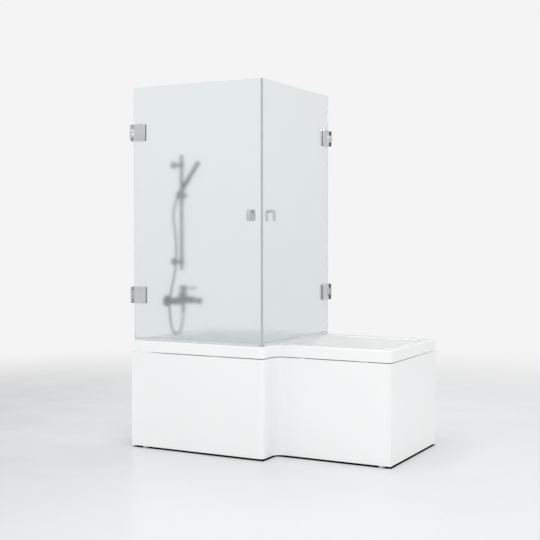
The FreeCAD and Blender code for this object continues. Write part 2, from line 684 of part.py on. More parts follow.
def make_waste():
    """Pop-up waste in the basin floor with its trap, and the overflow that works it."""
    across, out = "waste_across", "-waste_out"
    flange = fuse("waste_flange_solid", [
        rod("waste_ring", "waste_flange_radius", "waste_flange_height", (across, out, BASIN_FLOOR)),
        rod("waste_tail_solid", "waste_radius", "waste_tail + waste_flange_height / 2",
            (across, out, f"{BASIN_FLOOR} - waste_tail"))])
    bored = cut("waste_bored", flange, [
        rod("waste_hole", "waste_bore", "waste_tail + waste_flange_height + 2 * overcut",
            (across, out, f"{BASIN_FLOOR} - waste_tail - overcut"))])
    hub_foot = f"{BASIN_FLOOR} - waste_tail"
    inside = "((waste_bore + waste_radius) / 2)"
    guide = fuse("waste_guide", [
        bored,
        rod("waste_hub", "hub_radius", "hub_height", (across, out, hub_foot)),
        box("waste_bridge", (f"2 * {inside}", "bridge_width", "hub_height"),
            (f"{across} - {inside}", f"{out} - bridge_width / 2", hub_foot))])
    node("waste_flange", cut("waste_flange", guide, [
        rod("stem_hole", "plug_stem_radius + fit", "hub_height + 2 * overcut",
            (across, out, f"{hub_foot} - overcut"))]))
    seat = f"{BASIN_FLOOR} + waste_flange_height + part_gap"
    node("waste_plug", fuse("waste_plug", [
        rod("plug_disc", "plug_radius", "plug_height", (across, out, seat)),
        rod("plug_stem_rod", "plug_stem_radius", "plug_stem", (across, out, f"{seat} - plug_stem"))]))
    cup_foot = f"({SHELL_FOOT} - board_thickness - trap_height)"
    cup = fuse("trap_solid", [
        rod("trap_cup", "trap_radius", "trap_height", (across, out, cup_foot)),
        rod("trap_neck", "trap_neck_radius", "board_thickness + trap_wall / 2",
            (across, out, f"{SHELL_FOOT} - board_thickness - trap_wall / 2")),
        rod("trap_collar", "outlet_radius + outlet_collar", "trap_radius + outlet_collar_length",
            (across, out, f"{cup_foot} + trap_height / 2"), Y_AXIS),
        rod("trap_outlet", "outlet_radius", "waste_out - outlet_end",
            (across, out, f"{cup_foot} + trap_height / 2"), Y_AXIS)])
    node("waste_trap", cut("waste_trap", cup, [
        rod("trap_room", "trap_radius - trap_wall", "trap_height - 2 * trap_wall",
            (across, out, f"{cup_foot} + trap_wall")),
        rod("trap_socket", "waste_radius + slack", "board_thickness + 2 * trap_wall",
            (across, out, f"{SHELL_FOOT} - board_thickness - 1.5 * trap_wall")),
        rod("trap_outlet_bore", "outlet_bore", "waste_out - outlet_end + overcut",
            (across, out, f"{cup_foot} + trap_height / 2"), Y_AXIS)]))
    height = "rim_height - overflow_drop"
    back = "tap_ledge - shell_wall - overflow_depth"
    pipe_across = "(tap_ledge - shell_wall - overflow_depth / 2 - overflow_shift)"
    low = f"{cup_foot} + trap_height / 2"
    overflow = fuse("overflow_solid", [
        rod("overflow_body", "overflow_radius", "overflow_depth", (back, out, height), X_AXIS),
        rod("overflow_down", "overflow_pipe_radius", f"{height} - ({low})", (pipe_across, out, low)),
        rod("overflow_along", "overflow_pipe_radius", f"waste_across - trap_radius / 2 - {pipe_across}",
            (pipe_across, out, low), X_AXIS)])
    node("overflow_pipe", cut("overflow_pipe", overflow, [
        rod("overflow_socket", "overflow_shaft_radius + fit", "overflow_depth",
            ("tap_ledge - shell_wall - overflow_depth / 2", out, height), X_AXIS),
        rod("overflow_trim", "trap_radius + slack", "trap_height", (across, out, cup_foot))]))
    face = "tap_ledge + part_gap"
    bar = "(2 * (overflow_knob_radius - overflow_knob_bevel) - grip_width)"
    node("overflow_knob", fuse("overflow_knob", [
        cone("knob_disc", "overflow_knob_radius", "overflow_knob_radius - overflow_knob_bevel",
             "overflow_knob_depth", (face, out, height), X_AXIS),
        box("knob_bar", ("grip_depth + overflow_knob_depth / 2", "grip_width", bar),
            (f"{face} + overflow_knob_depth / 2", f"{out} - grip_width / 2", f"{height} - {bar} / 2")),
        rod("knob_shaft", "overflow_shaft_radius",
            "shell_wall + overflow_depth / 2 + overflow_knob_depth / 2",
            (f"{face} - shell_wall - overflow_depth / 2", out, height), X_AXIS)]))


# Doors. Each door is drawn in its own frame: X runs from the wall along the glass, Y through it.

GLASS_FOOT = "(rim_height + seal_gap + seal_base)"
GRIP = "(glass_thickness / 2 + gasket)"
PIN_LENGTH = "(hinge_height - 2 * ear_margin - 2 * pin_setback)"
NOTCH = "(knuckle_height / 2 + knuckle_gap)"
NOTCH_END = "(pivot_offset + knuckle_radius + notch_room)"
PULL_SCREW_RISE = "(pull_height / 2 - pull_top / 2)"
OUTSIDE = f"({GRIP} + clamp_thickness)"
SIDE_TURN = FreeCAD.Rotation(FreeCAD.Vector(0, 0, 1), -90)
DOORS = {
    "front": {
        "turn": Z_AXIS,
        "at": ("0", "-(shower_depth - glass_inset - glass_thickness / 2)"),
        "end": "(shower_length - glass_inset - corner_gap)",
        "out": "along",
        "sign": "1",
        "pull": "(shower_length - glass_inset - front_pull_inset)",
    },
    "side": {
        "turn": SIDE_TURN,
        "at": ("shower_length - glass_inset - glass_thickness / 2", "0"),
        "end": "(shower_depth - glass_inset - corner_gap)",
        "out": "against",
        "sign": "-1",
        "pull": "(shower_depth - glass_inset - side_pull_inset)",
    },
}
OPPOSITE = {"along": "against", "against": "along"}
HINGES = {"upper": f"({GLASS_FOOT} + door_height - hinge_inset)", "lower": f"({GLASS_FOOT} + hinge_inset)"}
PULL_MIDDLE = "(rim_height + pull_height_above)"


def door_body(door, name, height="0"):
    """A body in a door's frame, at a height above the floor."""
    return new_body(name, DOORS[door]["at"] + (height,), DOORS[door]["turn"])


def door_point(door, along, through):
    """A point of a door's frame in the part's frame; through counts towards the outside."""
    if door == "front":
        return along, f"{DOORS[door]['at'][1]} - ({through})"
    return f"{DOORS[door]['at'][0]} + ({through})", f"-({along})"


def inwards(door):
    """The direction from a door's outside to its inside, as a rotation of the Z axis."""
    if door == "front":
        return Y_AXIS
    return FreeCAD.Rotation(FreeCAD.Vector(0, 1, 0), -90)


def make_glass(door):
    """The door's pane, notched round both hinges and drilled for the clamp and pull screws."""
    end = DOORS[door]["end"]
    body = door_body(door, door + "_glass", GLASS_FOOT)
    face = sketch_on(body, "XZ_Plane")
    edge, deep = "glass_wall_gap", f"{NOTCH_END} + glass_notch_room"
    reach = "(hinge_height / 2 - ear_margin + overcut)"
    corners = [(edge, "0", "0"), (end, "0", "0"), (end, "door_height", "0"), (edge, "door_height", "0")]
    for middle in ("(door_height - hinge_inset)", "hinge_inset"):
        corners += [(edge, f"{middle} + {reach}", "0"), (deep, f"{middle} + {reach}", "glass_notch_room"),
                    (deep, f"{middle} - {reach}", "glass_notch_room"), (edge, f"{middle} - {reach}", "0")]
        for way in ("+", "-"):
            circle(face, "screw_offset", f"{middle} {way} screw_spacing / 2",
                   "screw_radius + glass_hole_room")
    outline(face, corners)
    for way in ("+", "-"):
        circle(face, f"{DOORS[door]['pull']} {way} pull_screw_spacing / 2",
               f"{PULL_MIDDLE} - {GLASS_FOOT} + {PULL_SCREW_RISE}", "pull_screw_radius + glass_hole_room")
    pad(body, face, "glass_thickness", "both")
    node(door + "_glass", body)


def make_wall_plate(door, place_name):
    """The fixed half of a hinge: a wall plate with a knuckle that the pin runs in."""
    name = f"{door}_{place_name}_wall_plate"
    body = door_body(door, name, HINGES[place_name])
    face = sketch_on(body, "YZ_Plane")
    half, tall = "wall_plate_width / 2", "hinge_height / 2"
    outline(face, [(f"-{half}", f"-{tall}", "plate_radius"), (half, f"-{tall}", "plate_radius"),
                   (half, tall, "plate_radius"), (f"-{half}", tall, "plate_radius")])
    for way in ("", "-"):
        circle(face, "0", f"{way}wall_hole_spacing / 2", "wall_hole_radius")
    pad(body, face, "wall_plate_thickness")
    front = number("wall_plate_thickness")
    hole = number("3 * wall_hole_radius")
    round_off(body, "plate_edge", lambda edge: flat(edge, "x", front) and edge.BoundBox.DiagonalLength > hole)
    plan = sketch_on(body, "XY_Plane")
    root, tip = "wall_plate_thickness / 2", "pivot_offset + knuckle_radius"
    bend = "0.97 * knuckle_radius"
    outline(plan, [(root, "-knuckle_radius", "0"), (tip, "-knuckle_radius", bend),
                   (tip, "knuckle_radius", bend), (root, "knuckle_radius", "0")])
    pad(body, plan, "knuckle_height", "both")
    bore = sketch_on(body, "XY_Plane")
    circle(bore, "pivot_offset", "0", "pin_radius + fit")
    pocket(body, bore, "knuckle_height + 2 * overcut", "both")
    node(name, body)


def clamp_outline():
    half = "hinge_height / 2"
    return [("clamp_start", f"-{half}", "0"), ("clamp_end", f"-{half}", "plate_radius"),
            ("clamp_end", half, "plate_radius"), ("clamp_start", half, "0"),
            ("clamp_start", NOTCH, "0"), (NOTCH_END, NOTCH, "plate_edge"),
            (NOTCH_END, f"-{NOTCH}", "plate_edge"), ("clamp_start", f"-{NOTCH}", "0")]


def make_clamp(door, place_name, face_name):
    """One of the two plates that grip the glass; the outer one also holds the hinge pin."""
    name = f"{door}_{place_name}_{face_name}_clamp"
    outer = face_name == "outer"
    way = DOORS[door]["out"] if outer else OPPOSITE[DOORS[door]["out"]]
    sign = DOORS[door]["sign"] if outer else f"-1 * {DOORS[door]['sign']}"
    body = door_body(door, name, HINGES[place_name])
    face = sketch_on(body, "XZ_Plane", f"{sign} * {GRIP}")
    outline(face, clamp_outline())
    pad(body, face, "clamp_thickness", way)
    shown = -number(f"{sign} * {OUTSIDE}")
    round_off(body, "plate_edge", lambda edge: flat(edge, "y", shown))
    holes = sketch_on(body, "XZ_Plane", f"{sign} * {GRIP}")
    for side in ("", "-"):
        circle(holes, "screw_offset", f"{side}screw_spacing / 2", "screw_radius + slack")
    pocket(body, holes, "screw_grip + slack" if outer else "clamp_thickness + overcut", OPPOSITE[way])
    if outer:
        ears = sketch_on(body, "XZ_Plane", f"{sign} * {GRIP}")
        near, far = "pivot_offset - ear_width / 2", "pivot_offset + ear_width / 2"
        low, high = NOTCH, "hinge_height / 2 - ear_margin"
        for side in ("", "-"):
            outline(ears, [(near, f"{side}({low})", "0"), (far, f"{side}({low})", "0"),
                           (far, f"{side}({high})", "0"), (near, f"{side}({high})", "0")])
        pad(body, ears, f"2 * {GRIP} - part_gap", OPPOSITE[way])
        bore = sketch_on(body, "XY_Plane")
        circle(bore, "pivot_offset", "0", "pin_radius + slack")
        pocket(body, bore, f"{PIN_LENGTH} + 2 * slack", "both")
    else:
        heads = sketch_on(body, "XZ_Plane", f"{sign} * {OUTSIDE}")
        for side in ("", "-"):
            circle(heads, "screw_offset", f"{side}screw_spacing / 2", "screw_head_radius + slack")
        pocket(body, heads, "screw_head", way)
    node(name, body)


def make_door_fixings(door):
    """Hinge pins, gaskets and clamp screws of one door."""
    pins, gaskets, screws = [], [], []
    for place_name, height in HINGES.items():
        pins.append(rod(f"{door}_{place_name}_pin", "pin_radius", PIN_LENGTH,
                        door_point(door, "pivot_offset", "0") + (f"{height} - {PIN_LENGTH} / 2",)))
        for face_name, sign in (("outer", DOORS[door]["sign"]), ("inner", f"-1 * {DOORS[door]['sign']}")):
            body = door_body(door, f"{door}_{place_name}_{face_name}_gasket", height)
            face = sketch_on(body, "XZ_Plane", f"{sign} * (glass_thickness / 2 + gasket / 2)")
            near = f"{NOTCH_END} + glass_notch_room"
            half = "hinge_height / 2"
            outline(face, [(near, f"-{half}", "0"), ("clamp_end", f"-{half}", "plate_radius"),
                           ("clamp_end", half, "plate_radius"), (near, half, "0")])
            for side in ("", "-"):
                circle(face, "screw_offset", f"{side}screw_spacing / 2", "screw_radius + slack")
            pad(body, face, "gasket", "both")
            gaskets.append(body)
        for k, side in enumerate(("+", "-")):
            middle = f"{height} {side} screw_spacing / 2"
            tip = door_point(door, "screw_offset", f"{GRIP} + screw_grip") + (middle,)
            seat = door_point(door, "screw_offset", f"-({OUTSIDE} - screw_head)") + (middle,)
            shank = rod(f"{door}_{place_name}_shank_{k}", "screw_radius",
                        f"{GRIP} + screw_grip + {OUTSIDE} - screw_head / 2", tip, inwards(door))
            head = rod(f"{door}_{place_name}_head_{k}", "screw_head_radius", "0.9 * screw_head",
                       seat, inwards(door))
            screws.append(fuse(f"{door}_{place_name}_screw_{k}", [shank, head]))
    node(door + "_hinge_pins", group(door + "_hinge_pins", pins))
    node(door + "_hinge_gaskets", group(door + "_hinge_gaskets", gaskets))
    node(door + "_clamp_screws", group(door + "_clamp_screws", screws))


def make_pull(door, face_name):
    """One half of a pull: a hook for the fingers, with a bar on the glass and a leg that hangs from it."""
    name = f"{door}_{face_name}_pull"
    outer = face_name == "outer"
    sign = -int(DOORS[door]["sign"]) * (1 if outer else -1)
    body = door_body(door, name, PULL_MIDDLE)
    along = DOORS[door]["pull"]
    profile = sketch_on(body, "YZ_Plane", along)
    root = "glass_thickness / 2 + pull_seat"
    tip = "glass_thickness / 2 + pull_depth"
    tall = "pull_height / 2"
    points = [(root, f"{tall} - pull_top", "0"), (root, tall, "0"), (tip, tall, "pull_radius"),
              (tip, f"-{tall}", "0"), (f"{tip} - pull_leg", f"-{tall}", "0"),
              (f"{tip} - pull_leg", f"{tall} - pull_top", "pull_radius")]
    outline(profile, [(f"{sign} * ({y})", z, radius) for y, z, radius in points])
    pad(body, profile, "pull_width", "both")
    sides = [number(f"{along} {way} pull_width / 2") for way in "-+"]
    foot = number(root) * sign

    def shown(edge):
        return any(flat(edge, "x", side) for side in sides) and not flat(edge, "y", foot)

    round_off(body, "pull_edge", shown)
    holes = sketch_on(body, "XZ_Plane", f"{-sign} * ({root})")
    for side in ("+", "-"):
        circle(holes, f"{along} {side} pull_screw_spacing / 2", PULL_SCREW_RISE, "pull_screw_radius + slack")
    pocket(body, holes, "pull_screw_grip + slack", "against" if sign < 0 else "along")
    node(name, body)


def make_door_trim(door):
    """Pull screws, the drip seal under the glass and the corner seal on its free edge."""
    end = DOORS[door]["end"]
    screws = []
    for k, side in enumerate(("+", "-")):
        tip = door_point(door, f"{DOORS[door]['pull']} {side} pull_screw_spacing / 2",
                         "glass_thickness / 2 + pull_screw_grip")
        tip += (f"{PULL_MIDDLE} + {PULL_SCREW_RISE}",)
        screws.append(rod(f"{door}_pull_screw_{k}", "pull_screw_radius",
                          "glass_thickness + 2 * pull_screw_grip", tip, inwards(door)))
    node(door + "_pull_screws", group(door + "_pull_screws", screws))
    drip = door_body(door, door + "_drip_seal", "rim_height + seal_gap")
    section = sketch_on(drip, "YZ_Plane", "glass_wall_gap")
    half = "glass_thickness / 2"
    outline(section, [
        (f"-({half} + seal_wall)", "0", "0"), (f"{half} + seal_wall", "0", "0"),
        (f"{half} + seal_wall", "seal_base + seal_lip", "0"), (half, "seal_base + seal_lip", "0"),
        (half, "seal_base", "0"), (f"-{half}", "seal_base", "0"),
        (f"-{half}", "seal_base + seal_lip", "0"), (f"-({half} + seal_wall)", "seal_base + seal_lip", "0")])
    pad(drip, section, f"{end} - glass_wall_gap - seal_setback")
    node(door + "_drip_seal", drip)
    strip = door_body(door, door + "_corner_seal", GLASS_FOOT)
    plan = sketch_on(strip, "XY_Plane")
    outer_y = f"-{DOORS[door]['sign']} * glass_thickness / 2"
    inner_y = f"{DOORS[door]['sign']} * glass_thickness / 2"
    outline(plan, [(end, outer_y, "0"), (f"{end} + corner_gap - mitre_gap", outer_y, "0"),
                   (f"{end} + corner_gap - mitre_gap - glass_thickness", inner_y, "0"), (end, inner_y, "0")])
    pad(strip, plan, "door_height")
    node(door + "_corner_seal", strip)


def make_door(door):
    make_glass(door)
    for place_name in HINGES:
        make_wall_plate(door, place_name)
        for face_name in ("outer", "inner"):
            make_clamp(door, place_name, face_name)
    make_door_fixings(door)
    for face_name in ("outer", "inner"):
        make_pull(door, face_name)
    make_door_trim(door)


# Riser rail, slider and hand shower

def make_rail():
    """The riser rail and its two wall brackets."""
    rail = rod("rail_rod", "rail_radius", "rail_length", ("rail_setback", "-rail_out", "rail_bottom"))
    node("riser_rail", soften("riser_rail", rail, "rail_radius / 3", lambda edge: edge.Closed))
    brackets = []
    heights = ("(rail_bottom + lower_bracket)", "(rail_bottom + rail_length - upper_bracket)")
    for i, height in enumerate(heights):
        solid = fuse(f"bracket_solid_{i}", [
            rod(f"rosette_{i}", "rosette_radius", "rosette_depth", ("0", "-rail_out", height), X_AXIS),
            rod(f"post_{i}", "post_radius", "rail_setback", ("0", "-rail_out", height), X_AXIS),
            rod(f"collar_{i}", "collar_radius", "collar_height",
                ("rail_setback", "-rail_out", f"{height} - collar_height / 2"))])
        brackets.append(cut(f"bracket_{i}", solid, [
            rod(f"collar_bore_{i}", "rail_radius + slack", "collar_height + 2 * overcut",
                ("rail_setback", "-rail_out", f"{height} - collar_height / 2 - overcut")),
            rod(f"bracket_hole_{i}", "bracket_hole_radius", "bracket_hole_depth + overcut",
                ("-overcut", "-rail_out", height), X_AXIS)]))
    node("rail_brackets", group("rail_brackets", brackets))


SLIDER = "(rail_bottom + slider_height)"
HOLDER_OUT = "(boss_reach + holder_gap + holder_radius)"
PIVOT = ("rail_setback + holder_offset", f"-(rail_out + {HOLDER_OUT})", SLIDER)
HANDSET_TURN = FreeCAD.Rotation(FreeCAD.Vector(0, 1, 0), number("handset_lean"))


def along_handset(distance, aside="0", out="0"):
    """A point measured up the hand shower's axis from the holder's pivot, and off that axis."""
    rise, run = "cos(handset_lean * 1deg)", "sin(handset_lean * 1deg)"
    return (f"{PIVOT[0]} + ({distance}) * {run} + ({aside}) * {rise}",
            f"{PIVOT[1]} + ({out})",
            f"{PIVOT[2]} + ({distance}) * {rise} - ({aside}) * {run}")


def handset_body(name):
    """A body whose Z axis is the hand shower's axis and whose origin is the holder's pivot."""
    return new_body(name, PIVOT, HANDSET_TURN)


def make_slider():
    """The slider on the rail, its lock knob and the tilting holder."""
    low = f"{SLIDER} - slider_length / 2"
    solid = fuse("slider_solid", [
        rod("slider_barrel", "slider_radius", "slider_length", ("rail_setback", "-rail_out", low)),
        rod("holder_boss", "boss_radius", "boss_reach",
            (PIVOT[0], "-(rail_out + boss_reach)", SLIDER), Y_AXIS),
        rod("knob_boss", "boss_radius", "boss_reach",
            ("rail_setback", "-rail_out", SLIDER), Y_AXIS)])
    node("rail_slider", cut("rail_slider", solid, [
        rod("slider_bore", "rail_radius + fit", "slider_length + 2 * overcut",
            ("rail_setback", "-rail_out", f"{low} - overcut")),
        rod("holder_bore", "holder_pin_radius + fit", "holder_pin + overcut",
            (PIVOT[0], "-(rail_out + boss_reach + overcut)", SLIDER), Y_AXIS),
        rod("knob_bore", "knob_stem_radius + fit", "knob_stem + overcut",
            ("rail_setback", "-(rail_out - boss_reach + knob_stem)", SLIDER), Y_AXIS)]))
    knob_face = "rail_out - boss_reach - part_gap"
    knob = fuse("knob_solid", [
        rod("knob_grip", "knob_radius", "knob_length",
            ("rail_setback", f"-({knob_face})", SLIDER), Y_AXIS),
        rod("knob_stem_rod", "knob_stem_radius", "knob_stem + knob_length / 4 - 2 * part_gap",
            ("rail_setback", f"-({knob_face} + knob_stem - 2 * part_gap)", SLIDER), Y_AXIS)])
    flutes = []
    for i in range(FLUTES):
        angle = f"{i * 360 / FLUTES} deg"
        flutes.append(rod(f"flute_{i}", "knob_radius / 4", "knob_length", (
            f"rail_setback + 1.1 * knob_radius * cos({angle})", f"-({knob_face} - knob_collar)",
            f"{SLIDER} + 1.1 * knob_radius * sin({angle})"), Y_AXIS))
    node("slider_knob", cut("slider_knob", knob, flutes))
    ring = fuse("holder_solid", [
        rod("holder_ring", "holder_radius", "holder_length",
            along_handset("-holder_length / 2"), HANDSET_TURN),
        rod("holder_neck", "boss_radius", "holder_gap + holder_radius - part_gap", PIVOT, Y_AXIS),
        rod("holder_pin_rod", "holder_pin_radius", "holder_gap + holder_radius + holder_pin - 2 * part_gap",
            PIVOT, Y_AXIS)])
    slope = "((cone_large - cone_small) / (cone_head + cone_tail))"
    spread = "(holder_length / 2 + overcut)"
    middle = f"(cone_small + cone_tail * {slope} + part_gap)"
    slot = box("holder_mouth", ("holder_slot", "holder_radius + overcut", "holder_length + 2 * overcut"),
               along_handset("-(holder_length / 2 + overcut)", "-holder_slot / 2",
                             "-(holder_radius + overcut)"), HANDSET_TURN)
    node("handset_holder", cut("handset_holder", ring, [
        cone("holder_seat", f"{middle} - {spread} * {slope}", f"{middle} + {spread} * {slope}",
             f"2 * {spread}", along_handset(f"-{spread}"), HANDSET_TURN), slot]))


def make_handset():
    """The baton hand shower with its spray plate, and the cone nut on the hose."""
    nut = cone("cone_solid", "cone_small", "cone_large", "cone_head + cone_tail",
               along_handset("-cone_tail"), HANDSET_TURN)
    node("handset_nut", cut("handset_nut", nut, [
        rod("cone_bore", "hose_radius + slack", "cone_head + cone_tail + 2 * overcut",
            along_handset("-cone_tail - overcut"), HANDSET_TURN)]))
    body = handset_body("hand_shower")
    base = sketch_on(body, "XY_Plane", "cone_head")
    circle(base, "0", "0", "handset_radius")
    pad(body, base, "handset_length")
    top = number("cone_head + handset_length")
    round_off(body, "handset_tip", lambda edge: flat(edge, "z", top))
    seat = sketch_on(body, "XZ_Plane")
    low = "cone_head + handset_length - spray_inset - spray_length"
    outside = "handset_radius + overcut"
    outline(seat, [("handset_radius - spray_seat", low, "0"), (outside, low, "0"),
                   (outside, f"{low} + spray_length", "0"),
                   ("handset_radius - spray_seat", f"{low} + spray_length", "0")])
    pocket(body, seat, "2 * handset_radius", "both")
    node("hand_shower", body)
    plate = handset_body("spray_plate")
    face = sketch_on(plate, "YZ_Plane", "handset_radius - spray_seat")
    half, bend = "spray_width / 2", "spray_width / 4"
    first, last = f"{low} + spray_margin", f"{low} + spray_length - spray_margin"
    outline(face, [(f"-{half}", first, bend), (half, first, bend),
                   (half, last, bend), (f"-{half}", last, bend)])
    pad(plate, face, "spray_thickness")
    node("spray_plate", plate)


# Mixer

def make_mixer():
    """The single-lever bath mixer: body, wall unions, covers, lever and diverter."""
    axis = ("mixer_setback", "-mixer_out", "mixer_height")
    top = "(mixer_height + housing_height)"
    spout = "(mixer_height + spout_height)"
    nozzle = "(mixer_setback + spout_reach - spout_radius)"
    nipple = "(mixer_height - nipple_length)"
    stub, nut = "(mixer_setback - mixer_radius - stub_length)", "(cover_depth + union_gap)"
    barrel = rod("mixer_barrel", "mixer_radius", "mixer_length",
                 (axis[0], "-(mixer_out + mixer_length / 2)", axis[2]), Y_AXIS)
    rounded = soften("mixer_barrel_round", barrel, "mixer_edge", lambda edge: edge.Closed)
    pieces = [
        rounded,
        rod("housing", "housing_radius", "housing_height", axis),
        rod("spout", "spout_radius", "spout_reach", (axis[0], axis[1], spout), X_AXIS),
        rod("nozzle", "nozzle_radius", "nozzle_drop",
            (nozzle, axis[1], f"{spout} - nozzle_drop")),
        rod("nipple", "nipple_radius", "nipple_length", (axis[0], axis[1], nipple))]
    covers, unions = [], []
    for i, side in enumerate(("+", "-")):
        out = f"-(mixer_out {side} inlet_spacing / 2)"
        pieces.append(rod(f"stub_{i}", "stub_radius", f"mixer_setback - {stub}",
                          (stub, out, axis[2]), X_AXIS))
        cover = cone(f"cover_cone_{i}", "cover_radius", "cover_front_radius", "cover_depth",
                     ("0", out, axis[2]), X_AXIS)
        covers.append(cut(f"cover_{i}", cover, [
            rod(f"cover_bore_{i}", "union_pipe_radius + part_gap", "cover_depth + 2 * overcut",
                ("-overcut", out, axis[2]), X_AXIS)]))
        union = fuse(f"union_solid_{i}", [
            rod(f"union_pipe_{i}", "union_pipe_radius", stub, ("0", out, axis[2]), X_AXIS),
            rod(f"union_nut_{i}", "union_radius", f"{stub} - {nut}",
                (nut, out, axis[2]), X_AXIS)])
        unions.append(cut(f"union_{i}", union, [
            rod(f"union_bore_{i}", "union_bore", f"{stub} + 2 * overcut",
                ("-overcut", out, axis[2]), X_AXIS)]))
    node("mixer_body", cut("mixer_body", fuse("mixer_solid", pieces), [
        rod("spindle_bore", "spindle_radius + fit", "spindle_depth + overcut",
            (axis[0], axis[1], f"{top} - spindle_depth")),
        rod("nozzle_hole", "nozzle_bore", "nozzle_depth + overcut",
            (nozzle, axis[1], f"{spout} - nozzle_drop - overcut"))]))
    node("wall_covers", group("wall_covers", covers))
    node("wall_unions", group("wall_unions", unions))
    tongue_foot = f"{top} + spindle_neck"
    node("lever_spindle", fuse("lever_spindle", [
        rod("spindle_rod", "spindle_radius", "spindle_depth + spindle_neck - part_gap",
            (axis[0], axis[1], f"{top} - spindle_depth + part_gap")),
        box("spindle_tongue", ("tongue_width", "tongue_thickness", "tongue_height + spindle_neck / 2"),
            ("mixer_setback - tongue_width / 2", "-(mixer_out + tongue_thickness / 2)",
             f"{tongue_foot} - spindle_neck / 2"))]))
    cap_foot = f"({top} + cap_gap)"
    slot_height = "spindle_neck + tongue_height - cap_gap + cap_room"
    cap = fuse("cap_solid", [
        rod("cap", "cap_radius", "cap_height", (axis[0], axis[1], cap_foot)),
        rod("pin_lever", "lever_radius", "lever_reach",
            (axis[0], axis[1], f"{cap_foot} + lever_height"), X_AXIS)])
    node("mixer_lever", cut("mixer_lever", cap, [
        box("cap_room", ("cap_slot", "tongue_thickness + 2 * fit", f"{slot_height} + overcut"),
            ("mixer_setback - cap_slot / 2", "-(mixer_out + tongue_thickness / 2 + fit)",
             f"{cap_foot} - overcut"))]))
    diverter = "(mixer_setback + housing_radius + diverter_gap)"
    ring = fuse("diverter_solid", [
        rod("diverter_ring", "diverter_radius", "diverter_length",
            (diverter, axis[1], spout), X_AXIS),
        rod("diverter_pip_rod", "diverter_pip", "diverter_radius + diverter_pip", (
            f"{diverter} + diverter_length / 2", axis[1], spout))])
    node("diverter_collar", cut("diverter_collar", ring, [
        rod("diverter_bore", "spout_radius + fit", "diverter_length + 2 * overcut",
            (f"{diverter} - overcut", axis[1], spout), X_AXIS)]))
    node("outlet_nut", rod("outlet_nut", "outlet_nut_radius", "outlet_nut_length",
                           (axis[0], axis[1], f"{nipple} - outlet_nut_length")))


def make_hose():
    """The shower hose: straight runs joined by tangent arcs along its route."""
    points = [FreeCAD.Vector(*point) for point in HOSE_ROUTE]
    edges, radii, here = [], [], points[0]
    for before, corner, after in zip(points, points[1:], points[2:]):
        back, ahead = before - corner, after - corner
        share = 0.45 * min(back.Length, ahead.Length)
        back.normalize()
        ahead.normalize()
        half_turn = (math.pi - back.getAngle(ahead)) / 2
        radius = share / math.tan(half_turn)
        start, end = corner + back * share, corner + ahead * share
        bow = corner + (back + ahead).normalize() * (radius / math.cos(half_turn) - radius)
        edges.append(Part.LineSegment(here, start).toShape())
        edges.append(Part.Arc(start, bow, end).toShape())
        radii.append(radius)
        here = end
    edges.append(Part.LineSegment(here, points[-1]).toShape())
    route = Part.Wire(edges)
    first_run = points[1] - points[0]
    section = Part.Wire(Part.Circle(points[0], first_run, number("hose_radius")).toShape())
    tube = route.makePipeShell([section], True, False)
    hose = doc.addObject("Part::Feature", "shower_hose")
    hose.Shape = tube
    hose.Placement = FreeCAD.Placement()
    wanted = math.pi * number("hose_radius") ** 2 * route.Length
    print("hose length", round(route.Length, 1), "least radius", round(min(radii), 1),
          "radii", [round(radius) for radius in radii], "volume share", round(tube.Volume / wanted, 4))
    node("shower_hose", hose)


make_shell()
make_panels()
make_panel_feet()
make_clips()
make_board()
make_cradle()
make_waste()
for door_name in DOORS:
    make_door(door_name)
make_rail()
make_slider()
make_handset()
make_mixer()
make_hose()
doc.recompute()

faults = [item.Name for item in doc.Objects if "Invalid" in item.State or "Error" in item.State]
faults += [label for label, item in nodes.items() if item.Shape.isNull() or not item.Shape.isValid()]
if faults:
    raise RuntimeError("not built: " + ", ".join(faults))

os.makedirs("parts", exist_ok=True)
for label, item in nodes.items():
    item.Shape.exportStep(f"parts/{label}.step")
print(len(nodes), "pieces written")
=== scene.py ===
"""Looks of the corner shower enclosure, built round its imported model. Metres; the front faces -Y."""
import math

import bmesh
import bpy
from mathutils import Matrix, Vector


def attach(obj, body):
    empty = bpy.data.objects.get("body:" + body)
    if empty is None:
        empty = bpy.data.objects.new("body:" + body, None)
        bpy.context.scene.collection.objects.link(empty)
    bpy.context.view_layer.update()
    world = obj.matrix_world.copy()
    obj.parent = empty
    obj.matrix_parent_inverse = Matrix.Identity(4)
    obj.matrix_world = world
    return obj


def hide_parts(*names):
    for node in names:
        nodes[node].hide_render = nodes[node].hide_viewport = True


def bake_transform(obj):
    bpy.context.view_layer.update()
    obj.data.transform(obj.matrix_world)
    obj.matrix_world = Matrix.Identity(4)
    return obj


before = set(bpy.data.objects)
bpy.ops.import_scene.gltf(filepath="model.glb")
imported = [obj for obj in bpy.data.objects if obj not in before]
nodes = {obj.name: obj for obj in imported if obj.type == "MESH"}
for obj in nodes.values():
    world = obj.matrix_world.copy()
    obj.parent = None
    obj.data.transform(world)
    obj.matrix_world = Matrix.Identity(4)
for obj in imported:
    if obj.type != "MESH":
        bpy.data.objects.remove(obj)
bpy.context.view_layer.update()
scene = bpy.context.scene
scene.view_settings.view_transform = "Standard"

ROOT = "bath_and_wall_fittings"

# Camera at the photograph's place; it looks down and turns by these degrees

CAMERA_PLACE = (3.412, -5.647, 1.201)
CAMERA_DOWN = 1.99
CAMERA_TURN = 27.81
CAMERA_LENS = 69.19
CAMERA_SENSOR = 36

camera = bpy.data.objects.new("camera", bpy.data.cameras.new("camera"))
scene.collection.objects.link(camera)
camera.location = CAMERA_PLACE
camera.rotation_euler = (math.radians(90 - CAMERA_DOWN), 0, math.radians(CAMERA_TURN))
camera.data.sensor_width = CAMERA_SENSOR
camera.data.lens = CAMERA_LENS
scene.camera = camera


# Mesh helpers

